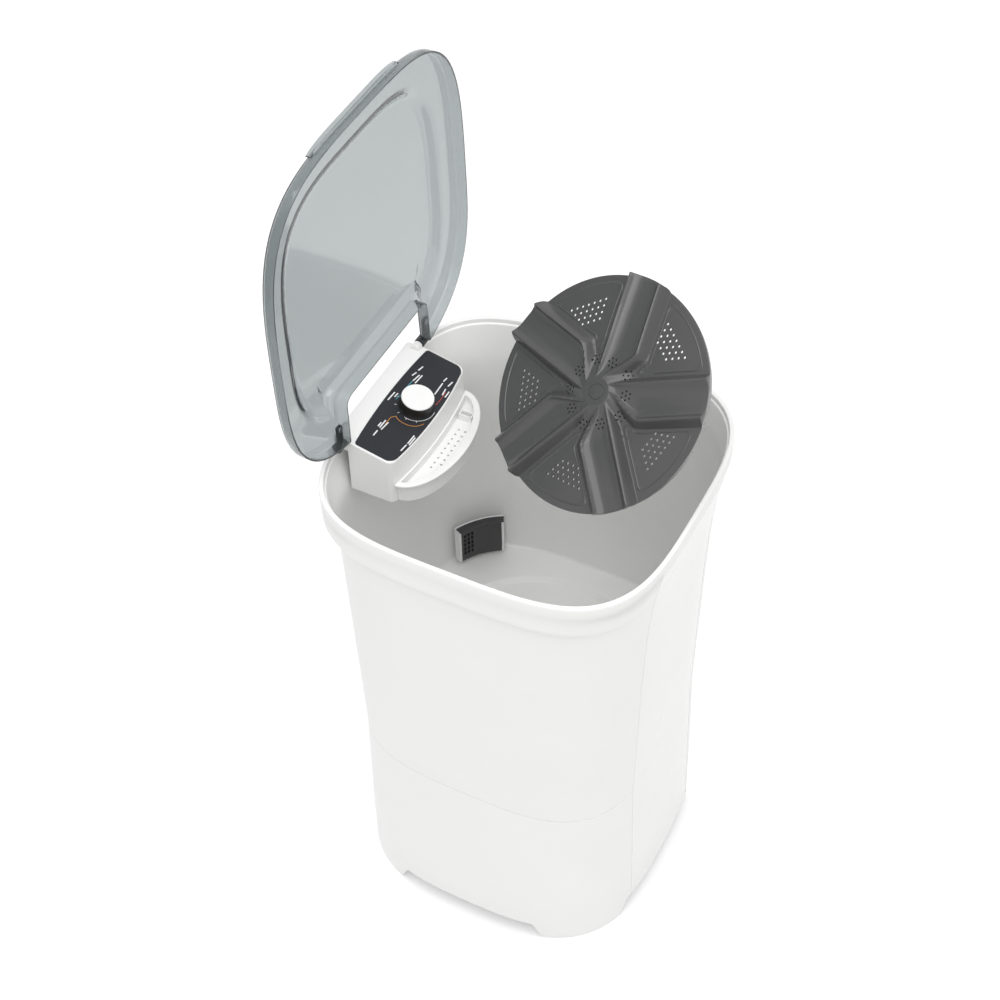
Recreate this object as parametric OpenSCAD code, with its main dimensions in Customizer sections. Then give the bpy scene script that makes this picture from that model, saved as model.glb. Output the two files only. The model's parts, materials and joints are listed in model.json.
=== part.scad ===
// Top-loading washing machine: a one-piece moulded tank on a skirted base, with a smoked lid
// that stands open, a console with a dial, a dispenser cup, a lint filter and a lift-out agitator.
// Front is -Y, the hinge side is +Y, the floor is z = 0 and the drive axis is the Z axis.

/* [Overall] */
// Width over the rim, side to side
body_w = 570; // [540:1:600]
// Depth over the rim, front to back
body_d = 592; // [562:1:620]
// Height of the rim's top edge above the floor
rim_z = 990; // [960:1:1020]

/* [Cabinet] */
// Height of the joint between the tank and the base skirt
seam_z = 375; // [350:1:384]
// How much narrower the cabinet is at that joint than over the rim
waist_in_w = 46; // [36:1:56]
// How much shallower it is there than over the rim
waist_in_d = 57; // [46:1:66]
// How much narrower the skirt's lower edge is than the rim
base_in = 16; // [6:1:26]
// Height of the skirt's lower edge between the feet
base_z = 40; // [30:1:60]
// Height of the skirt's edge above the floor at the feet
foot_clear = 2; // [1:0.5:4]
// Length of a foot along the front and back
foot_l_x = 145; // [127:1:151]
// Length of a foot along the sides
foot_l_y = 149; // [127:1:167]
// Length over which a foot rises to the skirt's edge
foot_rise_l = 24; // [12:1:40]
// Wall thickness of the tank and the skirt
wall_t = 3.5; // [3:0.5:4.5]
// Gap at the visible joints of the cabinet
joint_gap = 1; // [0.6:0.1:1.5]
// Height of the lip by which the skirt enters the tank
lip_h = 10; // [6:1:14]
// Distance of the front panel's sides from the rim's sides
panel_in = 160; // [158:1:175]
// Thickness of the front panel
panel_t = 3.5; // [2.5:0.5:4]
// Distance from the rim's top edge down to the front panel
panel_drop = 28; // [24:1:40]

/* [Rim] */
// Height of the band round the rim
band_h = 64; // [50:1:76]
// How far the band stands out from the wall under it
band_step = 12; // [6:1:14]
// Extra fullness of the front wall just under the rim
front_bulge = 12; // [4:1:16]
// Width of the rim's rounded top
rim_top_w = 6; // [4:0.5:8]
// How far the ledge inside the rim lies below its top
ledge_drop = 9; // [6:1:12]

/* [Tank] */
// Height of the tank's floor
floor_z = 436; // [420:1:450]
// Distance of the round recess in the floor from the waist's side
recess_in = 57; // [50:1:62]
// Depth of that recess
recess_d = 8; // [5:0.5:10]
// Radius of the drain opening in the floor
drain_r = 17; // [12:0.5:20]
// Place of the drain opening along X
drain_x = -90; // [-95:1:-85]
// Place of the drain opening along Y
drain_y = 150; // [145:1:155]

/* [Drive] */
// Radius of the drive shaft
shaft_r = 10; // [8:0.5:12]
// Height of the drive shaft's lower end
shaft_low_z = 268; // [262:1:272]
// Radius of the driven pulley at its flanges
pulley_r = 105; // [98:1:108]
// Radius of the motor pulley at its flanges
motor_pulley_r = 27; // [25:1:30]
// Depth of the belt groove
groove_d = 7; // [5:0.5:8]
// Height of a pulley
pulley_h = 16; // [14:0.5:18]
// Width of the belt
belt_w = 8; // [6:0.5:9]
// Distance between the two shafts
shaft_pitch = 150; // [146:1:156]
// Radius of the motor's housing
motor_r = 62; // [55:1:64]
// Height of the motor's housing
motor_h = 96; // [85:1:100]
// Radius of the motor's shaft
motor_shaft_r = 6; // [5:0.5:8]
// Thickness of the steel bracket
bracket_t = 3; // [2:0.5:4]
// Thickness of the bearing housing's flange
flange_t = 15; // [12:0.5:18]
// Radius of the bearing housing's flange
flange_r = 60; // [55:1:65]
// Radius of the bearing housing's barrel
barrel_r = 30; // [28:0.5:31]
// Length of the barrel below the flange
barrel_l = 105; // [95:1:110]
// Outer radius of a bearing
bearing_r = 20; // [18:0.5:22]
// Height of a bearing
bearing_h = 14; // [10:0.5:16]
// Radius of a bolt through the flange
bolt_r = 3; // [2.5:0.5:4]
// Radius of the circle of bolts
bolt_circle_r = 48; // [42:0.5:50]
// Number of bolts
bolt_count = 4; // [3:1:6]

/* [Agitator] */
// Gap between the agitator's disc and the edge of the recess
disc_gap = 17; // [16:1:25]
// Thickness of the disc
disc_t = 3; // [2.5:0.5:4]
// Height of the skirt round the disc
disc_skirt_h = 12; // [8:0.5:12]
// Height of the disc's face above the tank's floor when it is seated
seat_rise = 10; // [10:0.5:14]
// Number of vanes
vane_count = 5; // [4:1:6]
// How much smaller the lower edge of that skirt is in radius
disc_taper = 3; // [2:0.5:5]
// Height of a vane at its outer end
vane_h = 20; // [14:1:22]
// Width of a vane, a channel between two ridges
vane_w = 83; // [70:1:86]
// How far a vane reaches past its own radius on its leading side
vane_lead = 22; // [18:1:26]
// Width of a vane's leading flank, up to the first ridge
vane_flank = 13; // [10:1:15]
// Width of its trailing flank, down from the second ridge
vane_tail = 15; // [12:1:18]
// Length over which the second ridge bends in towards the hub
vane_bend = 64; // [50:1:80]
// How far a vane stands out past the disc
vane_out = 3; // [2:0.5:4]
// Radius of a drain hole in the disc
hole_r = 2.2; // [1.5:0.1:2.6]
// Distance between two drain holes
hole_pitch = 10.5; // [9:0.5:11]
// Distance of the outermost row of holes from the disc's edge
hole_in = 41; // [36:1:46]
// Distance from one row of holes to the next
hole_row_l = 9.3; // [8:0.1:10]
// Radius of the hub's flat top
hub_r = 22; // [21:1:26]
// Radius at which the hub's cone meets the disc
cone_r = 62; // [56:1:70]
// Height of the hub above the disc's face
hub_h = 15; // [14:0.5:18]
// Centre of the disc's face as it stands taken out, along X
shown_x = 39.5; // [36:0.5:42]
// The same along Y
shown_y = -106; // [-110:0.5:-104]
// The same above the rim
shown_up = 141.5; // [140:0.5:150]
// Tilt of the disc as it stands taken out
shown_tilt = 43.7; // [43:0.1:45]
// Direction that it is tilted to
shown_turn = 157; // [155:0.5:159]
// Turn of the vanes about the disc's own axis
vane_turn = 0; // [0:1:72]

/* [Lid] */
// Angle to which the lid stands open
lid_open = 91; // [88:1:95]
// Height of the hinge axis above the rim
hinge_up = 21; // [20:0.5:24]
// Distance of the hinge axis from the rim's back
hinge_in = 28; // [26:1:32]
// Height of the lid's skirt
lid_h = 20; // [18:0.5:20]
// Thickness of the lid
lid_t = 2.5; // [2:0.1:3]
// How far the lid's edge lies inside the rim's outline
lid_inset = 1; // [0.5:0.5:2]
// Height of the raised middle of the lid
dome_h = 12; // [6:1:16]
// Distance of the raised middle from the lid's edge
dome_margin = 52; // [44:1:60]
// Width of the slope up to the raised middle
dome_slope_w = 16; // [10:1:20]
// Distance of the lid's rear edge from the rim's back
lid_rear_in = 31; // [30:1:34]
// Gap between the lid's cut-out and the console at its front
notch_gap = 3; // [2:0.5:5]
// How much wider the cut-out is at its back, on each side
notch_flare = 3; // [2:0.5:4]
// How far the grip stands out
grip_d = 6; // [4:0.5:8]
// Height of the grip
grip_h = 9; // [6:0.5:10]
// Radius of a hinge pin
pin_r = 3; // [2.5:0.25:3.5]
// Radius of a hinge knuckle
knuckle_r = 9; // [8:0.5:9.5]
// Length of a hinge knuckle
knuckle_l = 21; // [16:0.5:22]
// Thickness of a hinge arm
arm_t = 6; // [4:0.5:6]
// Width of a hinge arm
arm_w = 12; // [10:0.5:13]
// Length of a hinge arm from the hinge axis
arm_l = 48; // [44:1:60]

/* [Console] */
// Distance of the console's sides from the rim's sides
console_in = 160; // [159:1:162]
// Depth of the console from the rim's back to its front face
console_d = 126; // [123:0.5:127]
// Radius of the console's front corners
console_corner = 12; // [8:1:16]
// Height of the console's front edge above the rim
console_front_up = 1.5; // [1:0.5:3]
// Height of the console's rear edge above the rim
console_rear_up = 20; // [18:0.5:20.5]
// Depth of the sloping face
console_face_d = 88; // [84:0.5:90]
// How far the console reaches down into the tank
console_down = 86; // [80:1:92]
// Wall thickness of the console
console_t = 6.5; // [5:0.5:7]
// Thickness of the label plate
label_t = 1.5; // [1:0.1:2]
// Bare border round the label plate
label_border = 3.5; // [2:0.5:5]
// Radius of the dial knob
knob_r = 28; // [24:0.5:30]
// Height of the dial knob
knob_h = 20; // [16:0.5:22]
// Place of the knob along X
knob_x = 4; // [-10:1:20]
// Distance of the knob behind the console's front face
knob_in = 37; // [34:1:42]
// Radius of the timer's shaft
dial_shaft_r = 3; // [2.5:0.25:4]
// Length of the timer's sides
timer_w = 58; // [50:1:60]
// Height of the timer
timer_h = 30; // [24:1:34]

/* [Dispenser] */
// Distance of the cup's ends from the console's sides
cup_in = 3; // [1:1:9]
// How far the cup stands out from the console
cup_d = 56; // [50:1:58]
// Depth of the inside of the cup
cup_depth = 16; // [12:1:24]
// Distance from the rim down to the cup's top
cup_drop = 45; // [42:1:50]
// Width of the rim round the cup
cup_rim_w = 11; // [9:0.5:13]
// Wall thickness of the cup
cup_t = 3.5; // [2.5:0.5:4.5]
// Radius of a hole in the cup's floor
sieve_r = 2; // [1.5:0.1:2.5]

/* [Filter] */
// Radius of the filter's hollow front
filter_r = 138; // [132:1:142]
// Distance of the middle of that front from the tank's wall
filter_in = 28; // [27:1:33]
// Direction of the filter, from +X towards +Y
filter_turn = 46.5; // [45:0.5:48]
// Half of the angle that the cartridge takes up
filter_angle = 16.5; // [15:0.5:18]
// Half of the angle that the frame takes up
frame_angle = 18.5; // [17.5:0.5:20]
// Height of the cartridge
filter_h = 84; // [76:1:92]
// Thickness of the cartridge
filter_t = 11; // [9:0.5:12]

/* [Hidden] */

// Overrun of a cutter past the face that it leaves
over = 1;
// Running gap between faces that slide or turn
run_gap = 0.3;
// Radial clearance of a shaft in its bore
fit_gap = 0.04;

// Roundness of the outlines, as the exponent of a superellipse
rim_power = 3.7;
waist_power = 3.35;
base_power = 3;
lid_rear_power = 3;

front_steps = 10;
side_steps = 86;
half_turn = 180;
right_angle = 90;
narrow_share = 0.6;

half_w = body_w / 2;
half_d = body_d / 2;
waist_w = body_w - waist_in_w;
waist_d = body_d - waist_in_d;
base_w = body_w - base_in;
foot_gap_x = base_w / 2 - foot_l_x;
foot_gap_y = base_w / 2 - foot_l_y;
panel_w = body_w - 2 * panel_in;
recess_r = waist_w / 2 - recess_in;
disc_r = recess_r - disc_gap;
shown_z = rim_z + shown_up;
hinge_y = half_d - hinge_in;
lid_rear_y = half_d - lid_rear_in;
console_w = body_w - 2 * console_in;
console_y = half_d - console_d;
notch_w = console_w / 2 + notch_gap;
notch_rear_w = notch_w + notch_flare;
grip_w = panel_w;
knob_y = console_y + knob_in;
cup_w = console_w / 2 - cup_in;
band_z = rim_z - band_h;
shoulder_z = band_z - band_step;
shoulder_w = half_w - band_step - wall_t;
back_extra = (body_d - body_w) / 2;
panel_top_z = rim_z - panel_drop;
panel_sink = panel_t + run_gap;
floor_t = wall_t;
floor_hole_r = barrel_r + 2 * run_gap;
recess_z = floor_z - recess_d;
floor_low_z = recess_z - floor_t;

function mix(a, b, share) = a + (b - a) * share;
function clamp(v) = min(1, max(0, v));
function ease(v) = let (s = clamp(v)) s * s * (3 - 2 * s);
function signed_power(v, p) = sign(v) * pow(abs(v), 2 / p);

// Half width, front depth, back depth and roundness of the cabinet's outside at a height
function wall_a(z) = z < seam_z ? mix(base_w / 2, waist_w / 2, (z - base_z) / (seam_z - base_z))
    : mix(waist_w / 2, shoulder_w, (z - seam_z) / (shoulder_z - seam_z));
function bulge(z) = front_bulge * pow(clamp((z - seam_z) / (shoulder_z - seam_z)), 6);
function wall_front(z) = z < seam_z ? mix(base_w / 2, waist_d / 2, (z - base_z) / (seam_z - base_z))
    : wall_a(z) + (waist_d - waist_w) / 2 + bulge(z);
function wall_back(z) = wall_front(z) - bulge(z);
function wall_power(z) = z < seam_z ? mix(base_power, waist_power, (z - base_z) / (seam_z - base_z))
    : mix(waist_power, rim_power, (z - seam_z) / (shoulder_z - seam_z));

// The same for the band, from the shoulder under it up to the panel's top
function band_rise(z, low, high) = lookup(z, [[shoulder_z, low], [band_z - band_step / 2, high - wall_t],
    [band_z + joint_gap, high - joint_gap], [panel_top_z, high - joint_gap / 2]]);
function band_a(z) = band_rise(z, shoulder_w, half_w);
function band_back(z) = band_rise(z, wall_back(shoulder_z), half_d);
function band_front(z) = lookup(z, [[shoulder_z, wall_front(shoulder_z)], [panel_top_z, half_d - joint_gap]]);

// Depth of a superellipse in front of the axis at a given x
function front_y(x, a, b, p) = -b * pow(1 - pow(abs(x) / a, p), 1 / p);

// One closed outline: a stretch across the front, which may be sunk for the panel, then the way round
function outline(a, front, back, p, z, sink = 0) =
    let (x0 = min(panel_w / 2, a * narrow_share), x1 = x0 + joint_gap * min(1, a / half_w),
        t0 = acos(pow(x1 / a, p / 2)))
    concat(
        [for (i = [0 : front_steps]) let (x = x0 * (2 * i / front_steps - 1))
            [x, front_y(x, a, front, p) + sink, z]],
        [for (i = [0 : side_steps]) let (t = -t0 + (half_turn + 2 * t0) * i / side_steps)
            [a * signed_power(cos(t), p), (sin(t) < 0 ? front : back) * signed_power(sin(t), p), z]]);

function circle_outline(r, z) = outline(r, r, r, 2, z);
function wall_outline(z, inset, sink) =
    outline(wall_a(z) - inset, wall_front(z) - inset, wall_back(z) - inset, wall_power(z), z, sink);

// Solid through a list of outlines, open as a ring or closed by its first and last outline
module skin(rings, ring_closed) {
    n = len(rings[0]);
    m = len(rings);
    points = [for (ring = rings) for (point = ring) point];
    sides = [for (i = [0 : (ring_closed ? m - 1 : m - 2)]) for (j = [0 : n - 1])
        let (next = (i + 1) % m, a = i * n + j, b = i * n + (j + 1) % n, c = next * n + (j + 1) % n, d = next * n + j)
        for (face = [[a, d, c], [a, c, b]]) face];
    caps = ring_closed ? [] : [[for (j = [0 : n - 1]) j], [for (j = [n - 1 : -1 : 0]) (m - 1) * n + j]];
    polyhedron(points = points, faces = concat(sides, caps), convexity = 10);
}

// Tank: its floor, its outer wall, which is the upper cabinet, and its rim
wall_levels = 6;
function level(i, low, high) = mix(low, high, i / wall_levels);
tank_low_z = seam_z + joint_gap / 2;
wall_low_z = floor_z + floor_t;
wall_heights = [for (i = [0 : wall_levels]) level(i, tank_low_z, shoulder_z)];
ledge_z = rim_z - ledge_drop;
inner_a = half_w - rim_top_w - ledge_drop / 2;
module tank() {
    rings = concat(
        [circle_outline(floor_hole_r, floor_low_z)],
        [circle_outline(recess_r - floor_t, floor_low_z)],
        [circle_outline(recess_r + floor_t, floor_z - floor_t)],
        [wall_outline(floor_z - floor_t, 2 * wall_t, panel_sink)],
        [wall_outline(floor_z - 2 * floor_t, wall_t, panel_sink)],
        [wall_outline(tank_low_z, wall_t, panel_sink)],
        [for (z = wall_heights) wall_outline(z, 0, panel_sink)],
        [for (z = [band_z - band_step / 2, band_z + joint_gap, panel_top_z])
            outline(band_a(z), band_front(z), band_back(z), rim_power, z, panel_sink)],
        [outline(half_w, half_d, half_d, rim_power, panel_top_z + joint_gap)],
        [outline(half_w, half_d, half_d, rim_power, rim_z - rim_top_w / 2)],
        [outline(half_w - rim_top_w / 3, half_d - rim_top_w / 3, half_d - rim_top_w / 3, rim_power, rim_z)],
        [outline(half_w - rim_top_w, half_d - rim_top_w, half_d - rim_top_w, rim_power, rim_z - joint_gap)],
        [outline(half_w - rim_top_w - joint_gap, half_d - rim_top_w - joint_gap, half_d - rim_top_w - joint_gap,
            rim_power, ledge_z)],
        [outline(inner_a, inner_a + back_extra, inner_a + back_extra, rim_power, ledge_z - joint_gap)],
        [outline(shoulder_w - wall_t / 2, wall_front(shoulder_z) - wall_t - panel_sink,
            wall_back(shoulder_z) - wall_t / 2, rim_power, band_z - joint_gap)],
        [for (i = [wall_levels : -1 : 1]) wall_outline(level(i, wall_low_z, shoulder_z - wall_t), wall_t,
            panel_sink)],
        [wall_outline(wall_low_z + 2 * wall_t, wall_t, panel_sink)],
        [wall_outline(wall_low_z, 2 * wall_t, panel_sink)],
        [wall_outline(floor_z, 4 * wall_t, 0)],
        [circle_outline(recess_r + floor_t, floor_z)],
        [circle_outline(recess_r, recess_z)],
        [circle_outline(floor_hole_r, recess_z)]);
    color("white") difference() {
        skin(rings, true);
        translate([drain_x, drain_y, floor_low_z - over])
            cylinder(r = drain_r, h = floor_z - floor_low_z + 2 * over, $fn = 48);
    }
}

// Base skirt with four feet, closed at the front by the panel's lower part
function foot_share(x, y) =
    ease((abs(x) - foot_gap_x) / foot_rise_l) * ease((abs(y) - foot_gap_y) / foot_rise_l);
function foot_outline(inset, rise, sink) =
    [for (point = wall_outline(base_z, inset, sink))
        [point[0], point[1], mix(base_z, foot_clear, foot_share(point[0], point[1])) + rise]];
skirt_top_z = seam_z - joint_gap / 2;
lip_in = wall_t + run_gap;
module base_skirt() {
    rings = concat(
        [foot_outline(wall_t, 0, panel_sink)],
        [foot_outline(wall_t / 2, 0, panel_sink)],
        [foot_outline(0, wall_t, panel_sink)],
        [for (i = [1 : 4]) wall_outline(mix(base_z, skirt_top_z, i / 4), 0, panel_sink)],
        [wall_outline(skirt_top_z, lip_in, panel_sink)],
        [wall_outline(skirt_top_z + lip_h, lip_in, panel_sink)],
        [wall_outline(skirt_top_z + lip_h, lip_in + wall_t, panel_sink)],
        [wall_outline(skirt_top_z - lip_h, lip_in + wall_t, panel_sink)],
        [wall_outline(skirt_top_z - 2 * lip_h, wall_t, panel_sink)],
        [for (i = [2 : -1 : 1]) wall_outline(mix(base_z, skirt_top_z, i / 4), wall_t, panel_sink)],
        [foot_outline(wall_t, wall_t, panel_sink)]);
    color("white") difference() {
        union() {
            skin(rings, true);
            for (sx = [-1, 1]) for (sy = [-1, 1])
                translate([sx * pad_place, sy * pad_place, pad_h])
                    cylinder(r = pad_r + 2 * wall_t, h = pad_seat_t, $fn = 48);
        }
        translate([gland_x, 0, gland_z]) towards_back()
            cylinder(r = gland_r, h = base_w, $fn = 48);
        translate([drain_x, drain_y, outlet_z]) towards_back()
            cylinder(r = outlet_r + joint_gap, h = base_w / 2, $fn = 48);
        cover_screw_set(screw_r / 2 + run_gap, 0);
    }
}

module towards_back() {
    rotate([-right_angle, 0, 0]) children();
}

// Front panel: a bowed plate that fills the sunk stretch across the front
panel_low_z = base_z + joint_gap;
panel_half = panel_w / 2 - joint_gap / 2;
function panel_ring(z) =
    let (upper = z > shoulder_z, a = upper ? band_a(z) : wall_a(z), b = upper ? band_front(z) : wall_front(z),
        p = upper ? rim_power : wall_power(z),
        xs = [for (i = [0 : front_steps]) panel_half * (2 * i / front_steps - 1)])
    concat([for (x = xs) [x, front_y(x, a, b, p), z]],
        [for (i = [front_steps : -1 : 0]) [xs[i], front_y(xs[i], a, b, p) + panel_t, z]]);
module front_panel() {
    levels = concat([for (i = [0 : 4]) mix(panel_low_z, seam_z, i / 4)],
        [for (i = [1 : wall_levels]) wall_heights[i]],
        [band_z - band_step / 2, band_z + joint_gap, panel_top_z - joint_gap]);
    color("white") skin([for (z = levels) panel_ring(z)], false);
}

// Service cover on the skirt's back, behind the drive
cover_w = 260;
cover_h = 220;
cover_t = 2;
cover_z = 80;
cover_levels = 4;
cover_gap = joint_gap / 2;
function back_y(x, z) = -front_y(x, wall_a(z), wall_back(z), wall_power(z));
function cover_ring(z) =
    let (xs = [for (i = [0 : front_steps]) cover_w / 2 * (1 - 2 * i / front_steps)])
    concat([for (x = xs) [x, back_y(x, z) + cover_gap + cover_t, z]],
        [for (i = [front_steps : -1 : 0]) [xs[i], back_y(xs[i], z) + cover_gap, z]]);
module rear_cover() {
    color("lightgray") difference() {
        skin([for (i = [0 : cover_levels]) cover_ring(cover_z + cover_h * i / cover_levels)], false);
        cover_screw_set(screw_r / 2 + run_gap, 0);
    }
}
// Screws through the service cover: their shanks, and their heads where a head radius is given
screw_r = 3;
screw_head_t = 1.5;
screw_l = 9;
module cover_screw_set(shank_r, head_r) {
    for (sx = [-1, 1]) for (z = [cover_z + 2 * screw_l, cover_z + cover_h - 2 * screw_l]) {
        x = sx * (cover_w / 2 - 2 * screw_l);
        translate([x, back_y(x, z) + cover_gap + run_gap + cover_t, z]) towards_back() {
            translate([0, 0, -screw_l])
                cylinder(r = shank_r, h = screw_l + (head_r > 0 ? screw_head_t : over), $fn = 32);
            if (head_r > 0) cylinder(r = head_r, h = screw_head_t, $fn = 32);
        }
    }
}
module cover_screws() {
    color("gainsboro") cover_screw_set(screw_r / 2, screw_r);
}

// Four rubber pads under the feet
pad_r = 16;
pad_h = 12;
pad_gap = 4.4;
pad_place = (base_w / 2 * pow(2, 1 / 2 - 1 / base_power) - pad_r - wall_t - pad_gap) / sqrt(2);
pad_seat_t = 6;
module foot_pads() {
    color("dimgray") for (sx = [-1, 1]) for (sy = [-1, 1])
        translate([sx * pad_place, sy * pad_place, 0]) cylinder(r = pad_r, h = pad_h, $fn = 48);
}

// Steel bracket under the tank's floor, which carries the motor
plate_z = floor_low_z - flange_t - bracket_t;
module drive_bracket() {
    color("silver") difference() {
        translate([0, 0, plate_z]) linear_extrude(height = bracket_t) hull() {
            circle(r = flange_r + bolt_r, $fn = 64);
            translate([0, shaft_pitch]) circle(r = motor_r, $fn = 64);
            translate([cap_x, cap_y]) circle(r = cap_r + bolt_r, $fn = 32);
        }
        translate([0, 0, plate_z - over]) cylinder(r = barrel_r + run_gap, h = bracket_t + 2 * over, $fn = 64);
        flange_ring(bolt_r + run_gap, plate_z - over, bracket_t + 2 * over);
        motor_ring(bolt_r + run_gap, plate_z - over, bracket_t + 2 * over);
    }
}
motor_bolt_count = 3;
motor_bolt_share = 0.7;
module flange_ring(r, z, h) {
    for (i = [0 : bolt_count - 1]) rotate(half_turn * (2 * i + 1) / bolt_count) translate([bolt_circle_r, 0, z])
        cylinder(r = r, h = h, $fn = 32);
}
module motor_ring(r, z, h) {
    for (i = [0 : motor_bolt_count - 1]) translate([0, shaft_pitch, z])
        rotate(half_turn * (2 * i + 1) / motor_bolt_count - right_angle / motor_bolt_count)
            translate([motor_r * motor_bolt_share, 0, 0]) cylinder(r = r, h = h, $fn = 32);
}
module flange_bolts() {
    color("gainsboro") {
        flange_ring(bolt_r, plate_z, floor_low_z - plate_z - run_gap);
        flange_ring(2 * bolt_r, plate_z - bolt_r, bolt_r);
    }
}
module motor_bolts() {
    color("gainsboro") {
        motor_ring(bolt_r, plate_z - bolt_bite, bracket_t + bolt_bite + bolt_r);
        motor_ring(2 * bolt_r, plate_z + bracket_t, bolt_r);
    }
}
bolt_bite = 8;

// Bearing housing: flange, barrel and the neck that enters the tank's floor
neck_up = 4;
neck_z = recess_z + neck_up;
seal_h = 7;
upper_bearing_z = neck_z - bearing_h - seal_h;
barrel_low_z = floor_low_z - flange_t - barrel_l;
module bearing_housing() {
    color("darkgray") difference() {
        union() {
            translate([0, 0, floor_low_z - flange_t]) cylinder(r = flange_r, h = flange_t, $fn = 96);
            translate([0, 0, barrel_low_z]) cylinder(r = barrel_r, h = neck_z - barrel_low_z, $fn = 96);
        }
        translate([0, 0, barrel_low_z - over])
            cylinder(r = shaft_r + joint_gap, h = neck_z - barrel_low_z + 2 * over, $fn = 96);
        translate([0, 0, barrel_low_z - over])
            cylinder(r = bearing_r + fit_gap, h = bearing_h + over, $fn = 96);
        translate([0, 0, upper_bearing_z])
            cylinder(r = bearing_r + fit_gap, h = neck_z - upper_bearing_z + over, $fn = 96);
        flange_ring(bolt_r + run_gap, floor_low_z - flange_t - over, flange_t + 2 * over);
    }
}
module sleeve(z, h, outer, inner) {
    translate([0, 0, z]) difference() {
        cylinder(r = outer, h = h, $fn = 96);
        translate([0, 0, -over]) cylinder(r = inner, h = h + 2 * over, $fn = 96);
    }
}
module upper_bearing() {
    color("peru") sleeve(upper_bearing_z, bearing_h, bearing_r, shaft_r + fit_gap);
}
module lower_bearing() {
    color("peru") sleeve(barrel_low_z, bearing_h, bearing_r, shaft_r + fit_gap);
}
module shaft_seal() {
    color("black") sleeve(upper_bearing_z + bearing_h, seal_h, bearing_r, shaft_r + fit_gap);
}

// Drive shaft with the tapered head that the agitator sits on
head_low_z = neck_z + run_gap;
head_h = 14;
head_r = 16;
head_tip_r = 4;
module drive_shaft() {
    color("silver") union() {
        translate([0, 0, shaft_low_z]) cylinder(r = shaft_r, h = head_low_z - shaft_low_z, $fn = 96);
        translate([0, 0, head_low_z]) cylinder(r1 = head_r, r2 = head_tip_r, h = head_h, $fn = 96);
    }
}
nut_h = 6;
pulley_z = shaft_low_z + nut_h;
module grooved_pulley(r, bore) {
    belt_low = (pulley_h - belt_w) / 2 - run_gap;
    rotate_extrude($fn = 96) polygon([[bore, 0], [r, 0], [r, belt_low], [r - groove_d, belt_low],
        [r - groove_d, pulley_h - belt_low], [r, pulley_h - belt_low], [r, pulley_h], [bore, pulley_h]]);
}
spoke_hole_r = 20;
spoke_hole_count = 6;
module driven_pulley() {
    color("gray") translate([0, 0, pulley_z]) difference() {
        grooved_pulley(pulley_r, shaft_r + fit_gap);
        for (i = [0 : spoke_hole_count - 1]) rotate(2 * half_turn * i / spoke_hole_count)
            translate([pulley_r / 2 + bolt_r, 0, -over])
                cylinder(r = spoke_hole_r, h = pulley_h + 2 * over, $fn = 48);
    }
}
nut_r = 15;
module pulley_nut() {
    color("gainsboro") translate([0, 0, pulley_z - nut_h]) difference() {
        cylinder(r = nut_r, h = nut_h, $fn = 6);
        translate([0, 0, -over]) cylinder(r = shaft_r + fit_gap, h = nut_h + 2 * over, $fn = 96);
    }
}

// Motor, hung from the bracket
motor_low_z = plate_z - motor_h;
end_cap_h = 14;
module motor_housing() {
    color("dimgray") translate([0, shaft_pitch, motor_low_z + end_cap_h]) difference() {
        cylinder(r = motor_r, h = motor_h - end_cap_h, $fn = 96);
        translate([0, 0, -over])
            cylinder(r = motor_r - wall_t, h = motor_h - end_cap_h - 3 * wall_t + over, $fn = 96);
        translate([0, -shaft_pitch, -motor_low_z - end_cap_h])
            motor_ring(bolt_r, plate_z - bolt_bite, bolt_bite + over);
    }
}
module motor_end_cap() {
    color("silver") translate([0, shaft_pitch, motor_low_z]) difference() {
        cylinder(r = motor_r, h = end_cap_h, $fn = 96);
        translate([0, 0, -over]) cylinder(r = motor_shaft_r + fit_gap, h = end_cap_h + 2 * over, $fn = 96);
    }
}
rotor_r = 44;
rotor_h = 50;
module motor_shaft() {
    color("silver") translate([0, shaft_pitch, 0]) union() {
        translate([0, 0, pulley_z])
            cylinder(r = motor_shaft_r, h = motor_low_z + end_cap_h + rotor_h - pulley_z, $fn = 96);
        translate([0, 0, motor_low_z + end_cap_h + run_gap]) cylinder(r = rotor_r, h = rotor_h, $fn = 96);
    }
}
module motor_pulley() {
    color("gray") translate([0, shaft_pitch, pulley_z]) grooved_pulley(motor_pulley_r, motor_shaft_r + fit_gap);
}
fan_r = 40;
fan_h = 8;
fan_blades = 8;
module motor_fan() {
    fan_z = pulley_z + pulley_h + run_gap;
    color("ivory") translate([0, shaft_pitch, fan_z]) difference() {
        union() {
            cylinder(r = fan_r, h = bracket_t, $fn = 96);
            cylinder(r = motor_shaft_r + wall_t, h = fan_h, $fn = 96);
            for (i = [0 : fan_blades - 1]) rotate(2 * half_turn * i / fan_blades)
                translate([motor_shaft_r + wall_t / 2, 0, 0])
                    cube([fan_r - motor_shaft_r - wall_t, cover_t, fan_h]);
        }
        translate([0, 0, -over]) cylinder(r = motor_shaft_r + fit_gap, h = fan_h + 2 * over, $fn = 96);
    }
}

// Belt, a plain loop over both pulleys
module belt_outline(grow) {
    hull() {
        circle(r = pulley_r - groove_d + grow, $fn = 96);
        translate([0, shaft_pitch]) circle(r = motor_pulley_r - groove_d + grow, $fn = 96);
    }
}
module v_belt() {
    color("black") translate([0, 0, pulley_z + (pulley_h - belt_w) / 2]) linear_extrude(height = belt_w)
        difference() {
            belt_outline(run_gap + belt_w);
            belt_outline(run_gap);
        }
}

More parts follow.
